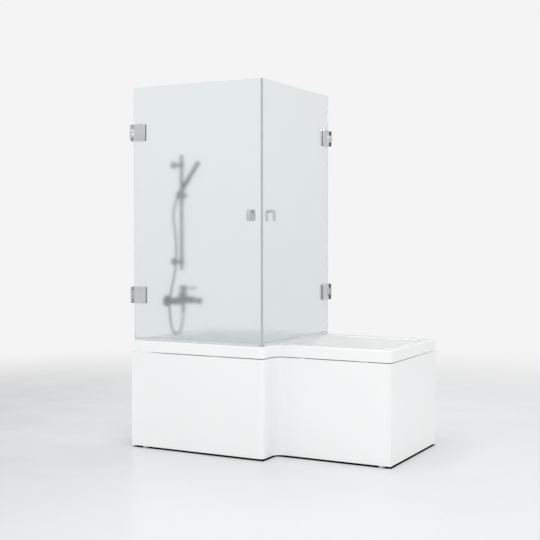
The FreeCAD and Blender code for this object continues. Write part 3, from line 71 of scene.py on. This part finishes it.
def add_piece(name, mesh, smooth=True):
    """An object for a mesh, with smooth or flat faces."""
    for face in mesh.polygons:
        face.use_smooth = smooth
    piece = bpy.data.objects.new(name, mesh)
    scene.collection.objects.link(piece)
    return piece


def mesh_from(name, shape):
    """A mesh with outward faces; the bmesh is used up."""
    mesh = bpy.data.meshes.new(name)
    bmesh.ops.recalc_face_normals(shape, faces=shape.faces)
    shape.to_mesh(mesh)
    shape.free()
    return mesh


def turns(count):
    """Even angles once round."""
    return [2 * math.pi * i / count for i in range(count)]


def places_round(centre, across, up, radii):
    """Places once round a centre, in the plane of two directions, each at its own radius."""
    return [centre + across * (radius * math.cos(turn)) + up * (radius * math.sin(turn))
            for radius, turn in zip(radii, turns(len(radii)))]


def ring(shape, centre, across, up, radii):
    """The same places as points of a shape."""
    return [shape.verts.new(place) for place in places_round(centre, across, up, radii)]


def join_rings(shape, first, second):
    """One row of faces between two rings of points."""
    count = len(first)
    for i in range(count):
        j = (i + 1) % count
        shape.faces.new((first[i], first[j], second[j], second[i]))


def close_rings(shape, rings):
    """Faces from ring to ring, and one at each end."""
    for first, second in zip(rings, rings[1:]):
        join_rings(shape, first, second)
    shape.faces.new(rings[0])
    shape.faces.new(rings[-1])


def turned_rings(shape, origin, axis, profile, count):
    """Rings of a turned form: the profile lists (distance along the axis, radius)."""
    across = axis.orthogonal().normalized()
    up = axis.cross(across)
    return [ring(shape, origin + axis * along, across, up, [radius] * count) for along, radius in profile]


# Hose: one smooth line whose control points are the route, wound with a fine rib. It is two pieces,
# split at one height: the long one and the top one.

HOSE_DIAMETER = 0.013
HOSE_ROUTE = [
    (0.070, -0.418, 0.738), (0.070, -0.424, 0.660), (0.070, -0.462, 0.6118), (0.070, -0.512, 0.6118),
    (0.070, -0.552, 0.660), (0.070, -0.570, 0.775), (0.072, -0.548, 0.885), (0.076, -0.508, 0.985),
    (0.078, -0.500, 1.090), (0.070, -0.498, 1.200), (0.046, -0.490, 1.300), (0.036803, -0.456, 1.387666),
    (0.077453, -0.456, 1.444654),
]
HOSE_STEPS = 150
HOSE_SIDES = 16
RIB_PITCH = 0.0032
RIB_DEPTH = 0.0005
HOSE_SPLIT = 1.290


def spline_points(route, steps):
    """Points along the smooth spline whose control points are the route."""
    curve = bpy.data.curves.new("hose_line", "CURVE")
    curve.dimensions = "3D"
    spline = curve.splines.new("NURBS")
    spline.points.add(len(route) - 1)
    for point, place in zip(spline.points, route):
        point.co = (*place, 1)
    spline.order_u = 3
    spline.use_endpoint_u = True
    spline.resolution_u = steps
    line = bpy.data.objects.new("hose_line", curve)
    scene.collection.objects.link(line)
    bpy.context.view_layer.update()
    mesh = bpy.data.meshes.new_from_object(line)
    points = [vertex.co.copy() for vertex in mesh.vertices]
    bpy.data.objects.remove(line)
    bpy.data.curves.remove(curve)
    bpy.data.meshes.remove(mesh)
    return points


def wound_rows(points, radius):
    """Rows of places round a line, with one fine rib wound along its whole length."""
    across = (points[1] - points[0]).orthogonal().normalized()
    along = 0.0
    rows = []
    for i, point in enumerate(points):
        heading = (points[min(i + 1, len(points) - 1)] - points[max(i - 1, 0)]).normalized()
        across = (across - heading * across.dot(heading)).normalized()
        up = heading.cross(across)
        if i:
            along += (point - points[i - 1]).length
        wound = 2 * math.pi * along / RIB_PITCH
        radii = [radius - RIB_DEPTH * (1 + math.cos(wound - turn)) / 2 for turn in turns(HOSE_SIDES)]
        rows.append(places_round(point, across, up, radii))
    return rows


def tube(name, rows):
    """A closed tube through rows of places."""
    shape = bmesh.new()
    close_rings(shape, [[shape.verts.new(place) for place in row] for row in rows])
    return add_piece(name, mesh_from(name, shape))


hose_line = spline_points(HOSE_ROUTE, HOSE_STEPS)
hose_rows = wound_rows(hose_line, HOSE_DIAMETER / 2)
split = max(i for i, point in enumerate(hose_line) if point.z < HOSE_SPLIT)
hose = tube("hose_ribbed", hose_rows[:split + 1])
hose_top = tube("hose_top", hose_rows[split:])
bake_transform(hose)
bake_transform(hose_top)
for piece, line in ((hose, hose_line[:split + 1]), (hose_top, hose_line[split:])):
    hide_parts("shower_hose")


# Node helpers for materials

X, Y, Z = 0, 1, 2
MIX_FIRST, MIX_SECOND, MIX_RESULT = 6, 7, 2


def new_material(name):
    material = bpy.data.materials.new(name)
    material.use_nodes = True
    return material, material.node_tree, material.node_tree.nodes["Principled BSDF"]


def node(tree, kind, **settings):
    made = tree.nodes.new(kind)
    for key, value in settings.items():
        setattr(made, key, value)
    return made


def parts_of(tree, vector):
    """The three numbers of a vector, as sockets."""
    split_up = node(tree, "ShaderNodeSeparateXYZ")
    tree.links.new(vector, split_up.inputs[0])
    return split_up.outputs


def noise(tree, scale, detail=3.0):
    """Noise over the object's own coordinates."""
    coords = node(tree, "ShaderNodeTexCoord")
    made = node(tree, "ShaderNodeTexNoise")
    made.inputs["Scale"].default_value = scale
    made.inputs["Detail"].default_value = detail
    tree.links.new(coords.outputs["Object"], made.inputs["Vector"])
    return made.outputs["Fac"]


def spread(tree, value, low, high, start=0.3, end=0.7):
    """Maps a value from the span start to end onto low to high, smoothly."""
    made = node(tree, "ShaderNodeMapRange", interpolation_type="SMOOTHSTEP")
    for socket, number in (("From Min", start), ("From Max", end), ("To Min", low), ("To Max", high)):
        made.inputs[socket].default_value = number
    tree.links.new(value, made.inputs["Value"])
    return made.outputs["Result"]


def mixed(tree, factor, first, second):
    """A colour between two, by a factor; either may be a colour or a socket."""
    made = node(tree, "ShaderNodeMix", data_type="RGBA")
    tree.links.new(factor, made.inputs["Factor"])
    for socket, colour in ((made.inputs[MIX_FIRST], first), (made.inputs[MIX_SECOND], second)):
        if isinstance(colour, tuple):
            socket.default_value = (*colour, 1)
        else:
            tree.links.new(colour, socket)
    return made.outputs[MIX_RESULT]


def maths(tree, operation, first, second=None):
    made = node(tree, "ShaderNodeMath", operation=operation)
    for socket, value in zip(made.inputs, (first, second)):
        if value is None:
            continue
        if isinstance(value, (int, float)):
            socket.default_value = value
        else:
            tree.links.new(value, socket)
    return made.outputs[0]


def bump(tree, shader, height, strength, distance):
    made = node(tree, "ShaderNodeBump")
    made.inputs["Strength"].default_value = strength
    made.inputs["Distance"].default_value = distance
    tree.links.new(height, made.inputs["Height"])
    tree.links.new(made.outputs["Normal"], shader.inputs["Normal"])


def surface(name, light, dark, rough, patch, grain, relief, metal=0.0, coat=None):
    """A material with two near tones, a roughness that varies and a fine relief.

    rough is a span of roughness, patch and grain are noise scales, relief is (strength, distance)
    of the bump and coat is (weight, roughness) of a clear coat."""
    material, tree, shader = new_material(name)
    tone = spread(tree, noise(tree, patch, 4.0), 0.0, 1.0)
    tree.links.new(mixed(tree, tone, light, dark), shader.inputs["Base Color"])
    tree.links.new(spread(tree, noise(tree, patch * 3), *rough), shader.inputs["Roughness"])
    bump(tree, shader, noise(tree, grain, 2.0), *relief)
    shader.inputs["Metallic"].default_value = metal
    if coat:
        shader.inputs["Coat Weight"].default_value, shader.inputs["Coat Roughness"].default_value = coat
    return material


# Glass: acid-etched panes, with a painted shade in their tint that deepens downwards, and green edges

GLASS_TINT = (0.895, 0.935, 0.935)
# painted shade: the deeper tint that the panes take towards their bottom
GLASS_TINT_SHADED = (0.855, 0.905, 0.91)
GLASS_SHADE = (0.6, 2.0)
GLASS_SHADE_NOISE = 3.0
GLASS_SHADE_NOISE_SPAN = (0.75, 1.0)
GLASS_EDGE = (0.36, 0.50, 0.48)
GLASS_ETCH = 1400.0
GLASS_ROUGH = (0.13, 0.17)
GLASS_RELIEF = (0.06, 0.00006)
GLASS_CLEAR = 0.92
GLASS_IOR = 1.5
GLASS_SHINE = 0.35


def glass_material(name, thin_axis):
    """Frosted glass for a pane that is thin along one axis."""
    material, tree, shader = new_material(name)
    coords = node(tree, "ShaderNodeTexCoord")
    facing = maths(tree, "ABSOLUTE", parts_of(tree, coords.outputs["Normal"])[thin_axis])
    edge = spread(tree, facing, 1.0, 0.0)
    # painted shade: the tint deepens towards the bottom of each pane, in soft patches
    depth = spread(tree, parts_of(tree, coords.outputs["Object"])[Z], 1.0, 0.0, *GLASS_SHADE)
    patchy_painted_shade = maths(tree, "MULTIPLY", depth, spread(tree, noise(tree, GLASS_SHADE_NOISE), *GLASS_SHADE_NOISE_SPAN))
    pane = mixed(tree, patchy_painted_shade, GLASS_TINT, GLASS_TINT_SHADED)
    tree.links.new(mixed(tree, edge, pane, GLASS_EDGE), shader.inputs["Base Color"])
    etch = noise(tree, GLASS_ETCH, 2.0)
    tree.links.new(spread(tree, etch, *GLASS_ROUGH), shader.inputs["Roughness"])
    bump(tree, shader, etch, *GLASS_RELIEF)
    shader.inputs["Transmission Weight"].default_value = GLASS_CLEAR
    shader.inputs["IOR"].default_value = GLASS_IOR
    shader.inputs["Specular IOR Level"].default_value = GLASS_SHINE
    return material


# Corner strips: pale wings with a dark magnet core, which starts within a span of an axis

STRIP_WING = (0.62, 0.67, 0.67)
STRIP_WING_DEEP = (0.56, 0.61, 0.61)
STRIP_CORE = (0.18, 0.20, 0.205)
STRIP_ROUGH = (0.25, 0.4)
STRIP_PATCH, STRIP_GLOSS_PATCH, STRIP_GRAIN = 30.0, 90.0, 700.0
STRIP_RELIEF = (0.1, 0.0002)
FRONT_CORE = (0.8262, 0.8270)
SIDE_CORE = (-0.8386, -0.8394)


def strip_material(name, axis, core_span):
    material, tree, shader = new_material(name)
    coords = node(tree, "ShaderNodeTexCoord")
    core = spread(tree, parts_of(tree, coords.outputs["Object"])[axis], 0.0, 1.0, *core_span)
    tone = spread(tree, noise(tree, STRIP_PATCH), 0.0, 1.0)
    wing = mixed(tree, tone, STRIP_WING, STRIP_WING_DEEP)
    tree.links.new(mixed(tree, core, wing, STRIP_CORE), shader.inputs["Base Color"])
    tree.links.new(spread(tree, noise(tree, STRIP_GLOSS_PATCH), *STRIP_ROUGH), shader.inputs["Roughness"])
    bump(tree, shader, noise(tree, STRIP_GRAIN, 2.0), *STRIP_RELIEF)
    return material


# Finishes: what surface() takes for each

FINISHES = {
    "bath_white": dict(
        light=(0.93, 0.938, 0.936), dark=(0.915, 0.925, 0.925), rough=(0.09, 0.16),
        patch=2.2, grain=60.0, relief=(0.006, 0.0004), coat=(0.35, 0.05)),
    "panel_white": dict(
        light=(0.925, 0.93, 0.93), dark=(0.91, 0.916, 0.918), rough=(0.16, 0.26),
        patch=1.6, grain=40.0, relief=(0.03, 0.0005), coat=(0.2, 0.12)),
    "board": dict(
        light=(0.64, 0.51, 0.36), dark=(0.48, 0.36, 0.24), rough=(0.7, 0.9),
        patch=260.0, grain=500.0, relief=(0.4, 0.0006)),
    "cradle_steel": dict(
        light=(0.62, 0.62, 0.63), dark=(0.52, 0.53, 0.55), rough=(0.28, 0.42),
        patch=45.0, grain=600.0, relief=(0.1, 0.0002), metal=1.0),
    "foot_plastic": dict(
        light=(0.73, 0.74, 0.75), dark=(0.67, 0.68, 0.69), rough=(0.4, 0.55),
        patch=30.0, grain=900.0, relief=(0.15, 0.0003)),
    "fixing_plastic": dict(
        light=(0.80, 0.80, 0.80), dark=(0.74, 0.74, 0.74), rough=(0.35, 0.5),
        patch=30.0, grain=900.0, relief=(0.12, 0.0002)),
    "pipe_plastic": dict(
        light=(0.90, 0.90, 0.885), dark=(0.85, 0.85, 0.83), rough=(0.28, 0.4),
        patch=20.0, grain=700.0, relief=(0.08, 0.0002)),
    "gasket_rubber": dict(
        light=(0.055, 0.058, 0.06), dark=(0.035, 0.037, 0.038), rough=(0.55, 0.75),
        patch=80.0, grain=1200.0, relief=(0.25, 0.0002)),
    "seal": dict(
        light=(0.68, 0.725, 0.725), dark=(0.62, 0.665, 0.665), rough=(0.2, 0.3),
        patch=40.0, grain=900.0, relief=(0.1, 0.0002)),
    "spray_plastic": dict(
        light=(0.72, 0.73, 0.74), dark=(0.64, 0.65, 0.67), rough=(0.35, 0.5),
        patch=90.0, grain=900.0, relief=(0.12, 0.0002)),
    "jet_rubber": dict(
        light=(0.30, 0.31, 0.32), dark=(0.24, 0.25, 0.26), rough=(0.5, 0.65),
        patch=200.0, grain=1500.0, relief=(0.1, 0.0002)),
    # painted shade: chrome made dark and blue-green for the hose, which hangs in shade behind the frosted
    # glass
    "hose_chrome": dict(
        light=(0.28, 0.305, 0.315), dark=(0.22, 0.245, 0.255), rough=(0.16, 0.26),
        patch=120.0, grain=900.0, relief=(0.05, 0.0001), metal=1.0),
    "chrome": dict(
        light=(0.80, 0.81, 0.82), dark=(0.74, 0.75, 0.765), rough=(0.05, 0.13),
        patch=18.0, grain=500.0, relief=(0.015, 0.0001), metal=1.0),
    # painted shade: chrome made dark and blue-green for the rail and mixer, which stand in shade behind the
    # frosted glass
    "shaded_set_chrome": dict(
        light=(0.245, 0.275, 0.285), dark=(0.20, 0.23, 0.24), rough=(0.06, 0.14),
        patch=18.0, grain=500.0, relief=(0.015, 0.0001), metal=1.0),
    # painted shade: chrome made darker still for the hand shower, in shade behind the frosted glass
    "shaded_handset_chrome": dict(
        light=(0.15, 0.172, 0.18), dark=(0.115, 0.135, 0.145), rough=(0.06, 0.14),
        patch=18.0, grain=500.0, relief=(0.015, 0.0001), metal=1.0),
    "satin_chrome": dict(
        light=(0.90, 0.905, 0.91), dark=(0.85, 0.855, 0.86), rough=(0.28, 0.36),
        patch=40.0, grain=900.0, relief=(0.03, 0.0001), metal=1.0),
}

# The CAD nodes of each finish; a node that isn't listed is chrome

FINISHED = {
    "bath_white": ["bath_shell"],
    "panel_white": ["front_panel", "end_panel"],
    "board": ["base_board"],
    "cradle_steel": ["cradle_bars", "foot_nuts"],
    "foot_plastic": ["levelling_feet", "panel_feet"],
    "fixing_plastic": ["panel_clips"],
    "pipe_plastic": ["waste_trap", "overflow_pipe"],
    "spray_plastic": ["spray_plate"],
    "gasket_rubber": ["front_hinge_gaskets", "side_hinge_gaskets"],
    "seal": ["front_drip_seal", "side_drip_seal"],
    "satin_chrome": ["front_inner_pull", "side_inner_pull"],
    "shaded_set_chrome": ["riser_rail", "rail_brackets", "rail_slider", "slider_knob", "handset_holder",
                   "handset_nut", "mixer_body", "wall_covers", "wall_unions", "lever_spindle",
                   "mixer_lever", "diverter_collar", "outlet_nut"],
    "shaded_handset_chrome": ["hand_shower"],
}


def paint(piece, material):
    """Gives every material slot of a piece one material."""
    if not piece.material_slots:
        piece.data.materials.append(material)
    for place in piece.material_slots:
        place.material = material


materials = {name: surface(name, **finish) for name, finish in FINISHES.items()}
finish_of = {name: finish for finish, names in FINISHED.items() for name in names}
for name, piece in nodes.items():
    paint(piece, materials[finish_of.get(name, "chrome")])
paint(nodes["front_glass"], glass_material("front_frosted", Y))
paint(nodes["side_glass"], glass_material("side_frosted", X))
paint(nodes["front_corner_seal"], strip_material("front_corner_strip", X, FRONT_CORE))
paint(nodes["side_corner_seal"], strip_material("side_corner_strip", Y, SIDE_CORE))
# painted shade: the hose takes the darkened chrome
paint(hose, materials["hose_chrome"])
paint(hose_top, materials["hose_chrome"])

# Spray nozzles: short tapered jets in three rows on the spray plate

HANDSET_PIVOT = Vector((0.067, -0.456, 1.430))
HANDSET_LEAN = math.radians(35.5)
HANDSET_AXIS = Vector((math.sin(HANDSET_LEAN), 0, math.cos(HANDSET_LEAN)))
HANDSET_OUT = Vector((math.cos(HANDSET_LEAN), 0, -math.sin(HANDSET_LEAN)))
HANDSET_SIDE = Vector((0, 1, 0))
SPRAY_FACE = 0.012
SPRAY_FIRST = 0.1325
SPRAY_STEP = 0.0059
SPRAY_ROWS = 15
SPRAY_ASIDE = (-0.0046, 0.0, 0.0046)
JET_PROFILE = [(-0.0003, 0.0014), (0.0004, 0.0013), (0.0013, 0.0009), (0.0013, 0.0005), (0.0006, 0.0004)]
JET_SIDES = 10


def make_nozzles():
    shape = bmesh.new()
    for i in range(SPRAY_ROWS):
        for aside in SPRAY_ASIDE:
            place = (HANDSET_PIVOT + HANDSET_AXIS * (SPRAY_FIRST + SPRAY_STEP * i)
                     + HANDSET_SIDE * aside + HANDSET_OUT * SPRAY_FACE)
            close_rings(shape, turned_rings(shape, place, HANDSET_OUT, JET_PROFILE, JET_SIDES))
    jets = add_piece("spray_jets", mesh_from("spray_jets", shape))
    paint(jets, materials["jet_rubber"])
    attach(jets, "hand_shower")


# Clamp screws with hexagon sockets in the inner plates of the hinges: each door's start (x, y) and direction

CLAMP_SCREWS = {"front": ((0.070, -0.8485), (0, 1, 0)), "side": ((0.8385, -0.070), (-1, 0, 0))}
SCREW_HEIGHTS = (0.8304, 0.8864, 1.7384, 1.7944)
SCREW_SHANK = 0.023
SCREW_SIDES = 24
SCREW_PROFILE = [(0.0, 0.0021), (0.0005, 0.0025), (SCREW_SHANK, 0.0025), (SCREW_SHANK, 0.0055),
                 (SCREW_SHANK + 0.0038, 0.0055), (SCREW_SHANK + 0.0045, 0.0048)]
SOCKET_RADIUS = 0.0029
SOCKET_DEPTH = 0.0026


def socket_radius(turn):
    """Distance from the middle of the hexagon socket to its side."""
    step = math.pi / 3
    return SOCKET_RADIUS * math.cos(step / 2) / math.cos(turn % step - step / 2)


def make_clamp_screws(door, start, axis):
    shape = bmesh.new()
    axis = Vector(axis)
    across = axis.orthogonal().normalized()
    up = axis.cross(across)
    hexagon = [socket_radius(turn) for turn in turns(SCREW_SIDES)]
    for height in SCREW_HEIGHTS:
        origin = Vector((*start, height))
        rings = turned_rings(shape, origin, axis, SCREW_PROFILE, SCREW_SIDES)
        mouth = origin + axis * SCREW_PROFILE[-1][0]
        for depth in (0.0, SOCKET_DEPTH):
            rings.append(ring(shape, mouth - axis * depth, across, up, hexagon))
        close_rings(shape, rings)
    name = f"{door}_socket_screws"
    screws = add_piece(name, mesh_from(name, shape), smooth=False)
    paint(screws, materials["cradle_steel"])
    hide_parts(f"{door}_clamp_screws")
    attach(screws, f"{door}_door")


# Stream straightener: a round mesh of thin webs inside a rim, in the spout's mouth

SPOUT_MOUTH = Vector((0.181, -0.418, 0.7865))
MOUTH_RADIUS = 0.0073
MOUTH_SIDES = 32
MOUTH_WALL = 0.0009
MOUTH_HEIGHT = 0.004
MOUTH_CELLS = 7
MOUTH_WEB = 0.0003
MOUTH_LIFT = Vector((0, 0, 0.001))
MOUTH_THICKNESS = 0.0004
LEAST_HOLE_AREA = 2e-6
MOUTH_RIM = [(0.0, MOUTH_RADIUS), (0.0, MOUTH_RADIUS - MOUTH_WALL),
             (MOUTH_HEIGHT, MOUTH_RADIUS - MOUTH_WALL), (MOUTH_HEIGHT, MOUTH_RADIUS)]


def not_web(face):
    """True for a face that is a hole of the mesh, or lies outside the mouth."""
    hole = len(face.verts) == 4 and face.calc_area() > LEAST_HOLE_AREA
    return hole or face.calc_center_median().length > MOUTH_RADIUS


def make_straightener():
    shape = bmesh.new()
    bmesh.ops.create_grid(shape, x_segments=MOUTH_CELLS, y_segments=MOUTH_CELLS, size=MOUTH_RADIUS)
    bmesh.ops.inset_individual(shape, faces=shape.faces[:], thickness=MOUTH_WEB)
    bmesh.ops.delete(shape, geom=[face for face in shape.faces if not_web(face)], context="FACES")
    bmesh.ops.translate(shape, verts=shape.verts, vec=SPOUT_MOUTH + MOUTH_LIFT)
    rings = turned_rings(shape, SPOUT_MOUTH, Vector((0, 0, 1)), MOUTH_RIM, MOUTH_SIDES)
    for first, second in zip(rings, rings[1:] + rings[:1]):
        join_rings(shape, first, second)
    straightener = add_piece("spout_straightener", mesh_from("spout_straightener", shape), smooth=False)
    straightener.modifiers.new("thickness", "SOLIDIFY").thickness = MOUTH_THICKNESS
    paint(straightener, materials["spray_plastic"])
    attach(straightener, ROOT)


make_nozzles()
for door, (start, axis) in CLAMP_SCREWS.items():
    make_clamp_screws(door, start, axis)
make_straightener()

# Stage: a pale floor that fades into the background, with a near black painted shadow in a band under the
# bath's panels

BACKGROUND = (0.905, 0.905, 0.905)
STUDIO_LOW = (0.70, 0.70, 0.715)
FLOOR_TONE = (0.745, 0.75, 0.757)
FLOOR_GLOSS = 0.25
FLOOR_PATCH = 3.0
FLOOR_ROUGH = (0.2, 0.26)
FLOOR_HALF = 14.0
FLOOR_MIDDLE = (0.75, -0.44, 0.0)
FLOOR_CELLS = 8
FADE_SPAN = (2.2, 5.5)
# painted shadow: a near black floor tone in spans under the bath, fading out at a depth behind its panels
PAINTED_SHADOW_TONE = (0.012, 0.012, 0.013)
PAINTED_SHADOW_SPANS = (((0.002, 1.503), (-0.703, -0.002)), ((0.002, 0.843), (-0.853, -0.002)))
PAINTED_SHADOW_DEPTH = (0.05, 0.14)


def mirrored_rays(tree, path):
    """1 for rays that metal or a gloss sends on, and 0 for those that come through glass."""
    return maths(tree, "SUBTRACT", path.outputs["Is Glossy Ray"], path.outputs["Is Transmission Ray"])


def painted_shadow_under_bath(tree, place):
    """The painted shadow: 1 on the floor under the bath close behind its panels, and 0 elsewhere."""
    painted_shadow = None
    deep = None
    near, far = PAINTED_SHADOW_DEPTH
    for spans in PAINTED_SHADOW_SPANS:
        inside = None
        for axis, (low, high) in enumerate(spans):
            above = maths(tree, "GREATER_THAN", place[axis], low - FLOOR_MIDDLE[axis])
            below = maths(tree, "LESS_THAN", place[axis], high - FLOOR_MIDDLE[axis])
            both = maths(tree, "MULTIPLY", above, below)
            inside = both if inside is None else maths(tree, "MULTIPLY", inside, both)
        painted_shadow = inside if painted_shadow is None else maths(tree, "MAXIMUM", painted_shadow, inside)
        end = spans[X][1] - FLOOR_MIDDLE[X]
        front = spans[Y][0] - FLOOR_MIDDLE[Y]
        behind = maths(tree, "MULTIPLY", spread(tree, place[X], 1.0, 0.0, end - far, end - near),
                       spread(tree, place[Y], 0.0, 1.0, front + near, front + far))
        deep = behind if deep is None else maths(tree, "MAXIMUM", deep, behind)
    return maths(tree, "MULTIPLY", painted_shadow, maths(tree, "SUBTRACT", 1.0, deep))


def make_floor():
    shape = bmesh.new()
    bmesh.ops.create_grid(shape, x_segments=FLOOR_CELLS, y_segments=FLOOR_CELLS, size=FLOOR_HALF)
    floor = add_piece("floor", mesh_from("floor", shape))
    floor.location = FLOOR_MIDDLE
    material, tree, shader = new_material("floor")
    tree.links.new(spread(tree, noise(tree, FLOOR_PATCH), *FLOOR_ROUGH), shader.inputs["Roughness"])
    coords = node(tree, "ShaderNodeTexCoord")
    painted_shadow = painted_shadow_under_bath(tree, parts_of(tree, coords.outputs["Object"]))
    # painted shadow: the floor turns near black and loses its gloss under the bath's panels
    tree.links.new(mixed(tree, painted_shadow, FLOOR_TONE, PAINTED_SHADOW_TONE), shader.inputs["Base Color"])
    tree.links.new(spread(tree, painted_shadow, FLOOR_GLOSS, 0.0, 0.0, 1.0), shader.inputs["Specular IOR Level"])
    away = node(tree, "ShaderNodeVectorMath", operation="LENGTH")
    tree.links.new(coords.outputs["Object"], away.inputs[0])
    fade = spread(tree, away.outputs["Value"], 0.0, 1.0, *FADE_SPAN)
    path = node(tree, "ShaderNodeLightPath")
    seen = maths(tree, "MAXIMUM", path.outputs["Is Camera Ray"],
                 maths(tree, "MAXIMUM", path.outputs["Is Glossy Ray"], path.outputs["Is Transmission Ray"]))
    glow = node(tree, "ShaderNodeEmission")
    tree.links.new(mixed(tree, mirrored_rays(tree, path), BACKGROUND, STUDIO_LOW), glow.inputs["Color"])
    both = node(tree, "ShaderNodeMixShader")
    tree.links.new(maths(tree, "MULTIPLY", fade, seen), both.inputs[0])
    tree.links.new(shader.outputs[0], both.inputs[1])
    tree.links.new(glow.outputs[0], both.inputs[2])
    tree.links.new(both.outputs[0], tree.nodes["Material Output"].inputs["Surface"])
    paint(floor, material)


# World: the plain background, an even fill for pale surfaces and a studio with dark sides for the chrome

STUDIO_HIGH = (1.0, 1.0, 1.0)
STUDIO_RISE = (0.1, 0.6)
STUDIO_DARK = (0.05, 0.055, 0.06)
STUDIO_DARK_WAYS = ((0.995, -0.1, 0.0), (-0.958, 0.287, 0.0))
STUDIO_DARK_SPAN = (0.70, 0.94)
FILL_LOW = (1.03, 1.03, 1.03)
FILL_HIGH = (0.97, 0.97, 0.97)
FILL_RISE = (-0.3, 0.8)


def make_world():
    world = bpy.data.worlds.new("studio")
    scene.world = world
    world.use_nodes = True
    tree = world.node_tree
    coords = node(tree, "ShaderNodeTexCoord")
    rise = parts_of(tree, coords.outputs["Generated"])[Z]
    studio = mixed(tree, spread(tree, rise, 0.0, 1.0, *STUDIO_RISE), STUDIO_LOW, STUDIO_HIGH)
    for way in STUDIO_DARK_WAYS:
        toward = node(tree, "ShaderNodeVectorMath", operation="DOT_PRODUCT")
        tree.links.new(coords.outputs["Generated"], toward.inputs[0])
        toward.inputs[1].default_value = way
        darkness = spread(tree, toward.outputs["Value"], 0.0, 1.0, *STUDIO_DARK_SPAN)
        studio = mixed(tree, darkness, studio, STUDIO_DARK)
    fill = mixed(tree, spread(tree, rise, 0.0, 1.0, *FILL_RISE), FILL_LOW, FILL_HIGH)
    path = node(tree, "ShaderNodeLightPath")
    seen = mixed(tree, mirrored_rays(tree, path), BACKGROUND, studio)
    light = mixed(tree, path.outputs["Is Diffuse Ray"], seen, fill)
    tree.links.new(light, tree.nodes["Background"].inputs["Color"])
    tree.nodes["Background"].inputs["Strength"].default_value = 1.0


# Soft lamps: place, target, size and watts of each

LAMPS = {
    "key": ((4.0, -4.7, 3.5), (0.8, -0.5, 0.8), (3.0, 2.4), 58),
    "top": ((0.7, -0.8, 4.6), (0.7, -0.6, 0.6), (2.4, 2.0), 20),
    "inside": ((0.42, -0.42, 2.9), (0.42, -0.42, 0.5), (0.6, 0.6), 10),
}


def make_lamp(name, place, target, size, power):
    data = bpy.data.lights.new(name, "AREA")
    data.shape = "RECTANGLE"
    data.size, data.size_y = size
    data.energy = power
    made = bpy.data.objects.new(name, data)
    scene.collection.objects.link(made)
    made.location = place
    made.rotation_euler = (Vector(target) - Vector(place)).to_track_quat("-Z", "Y").to_euler()


make_floor()
make_world()
for name, values in LAMPS.items():
    make_lamp(name, *values)
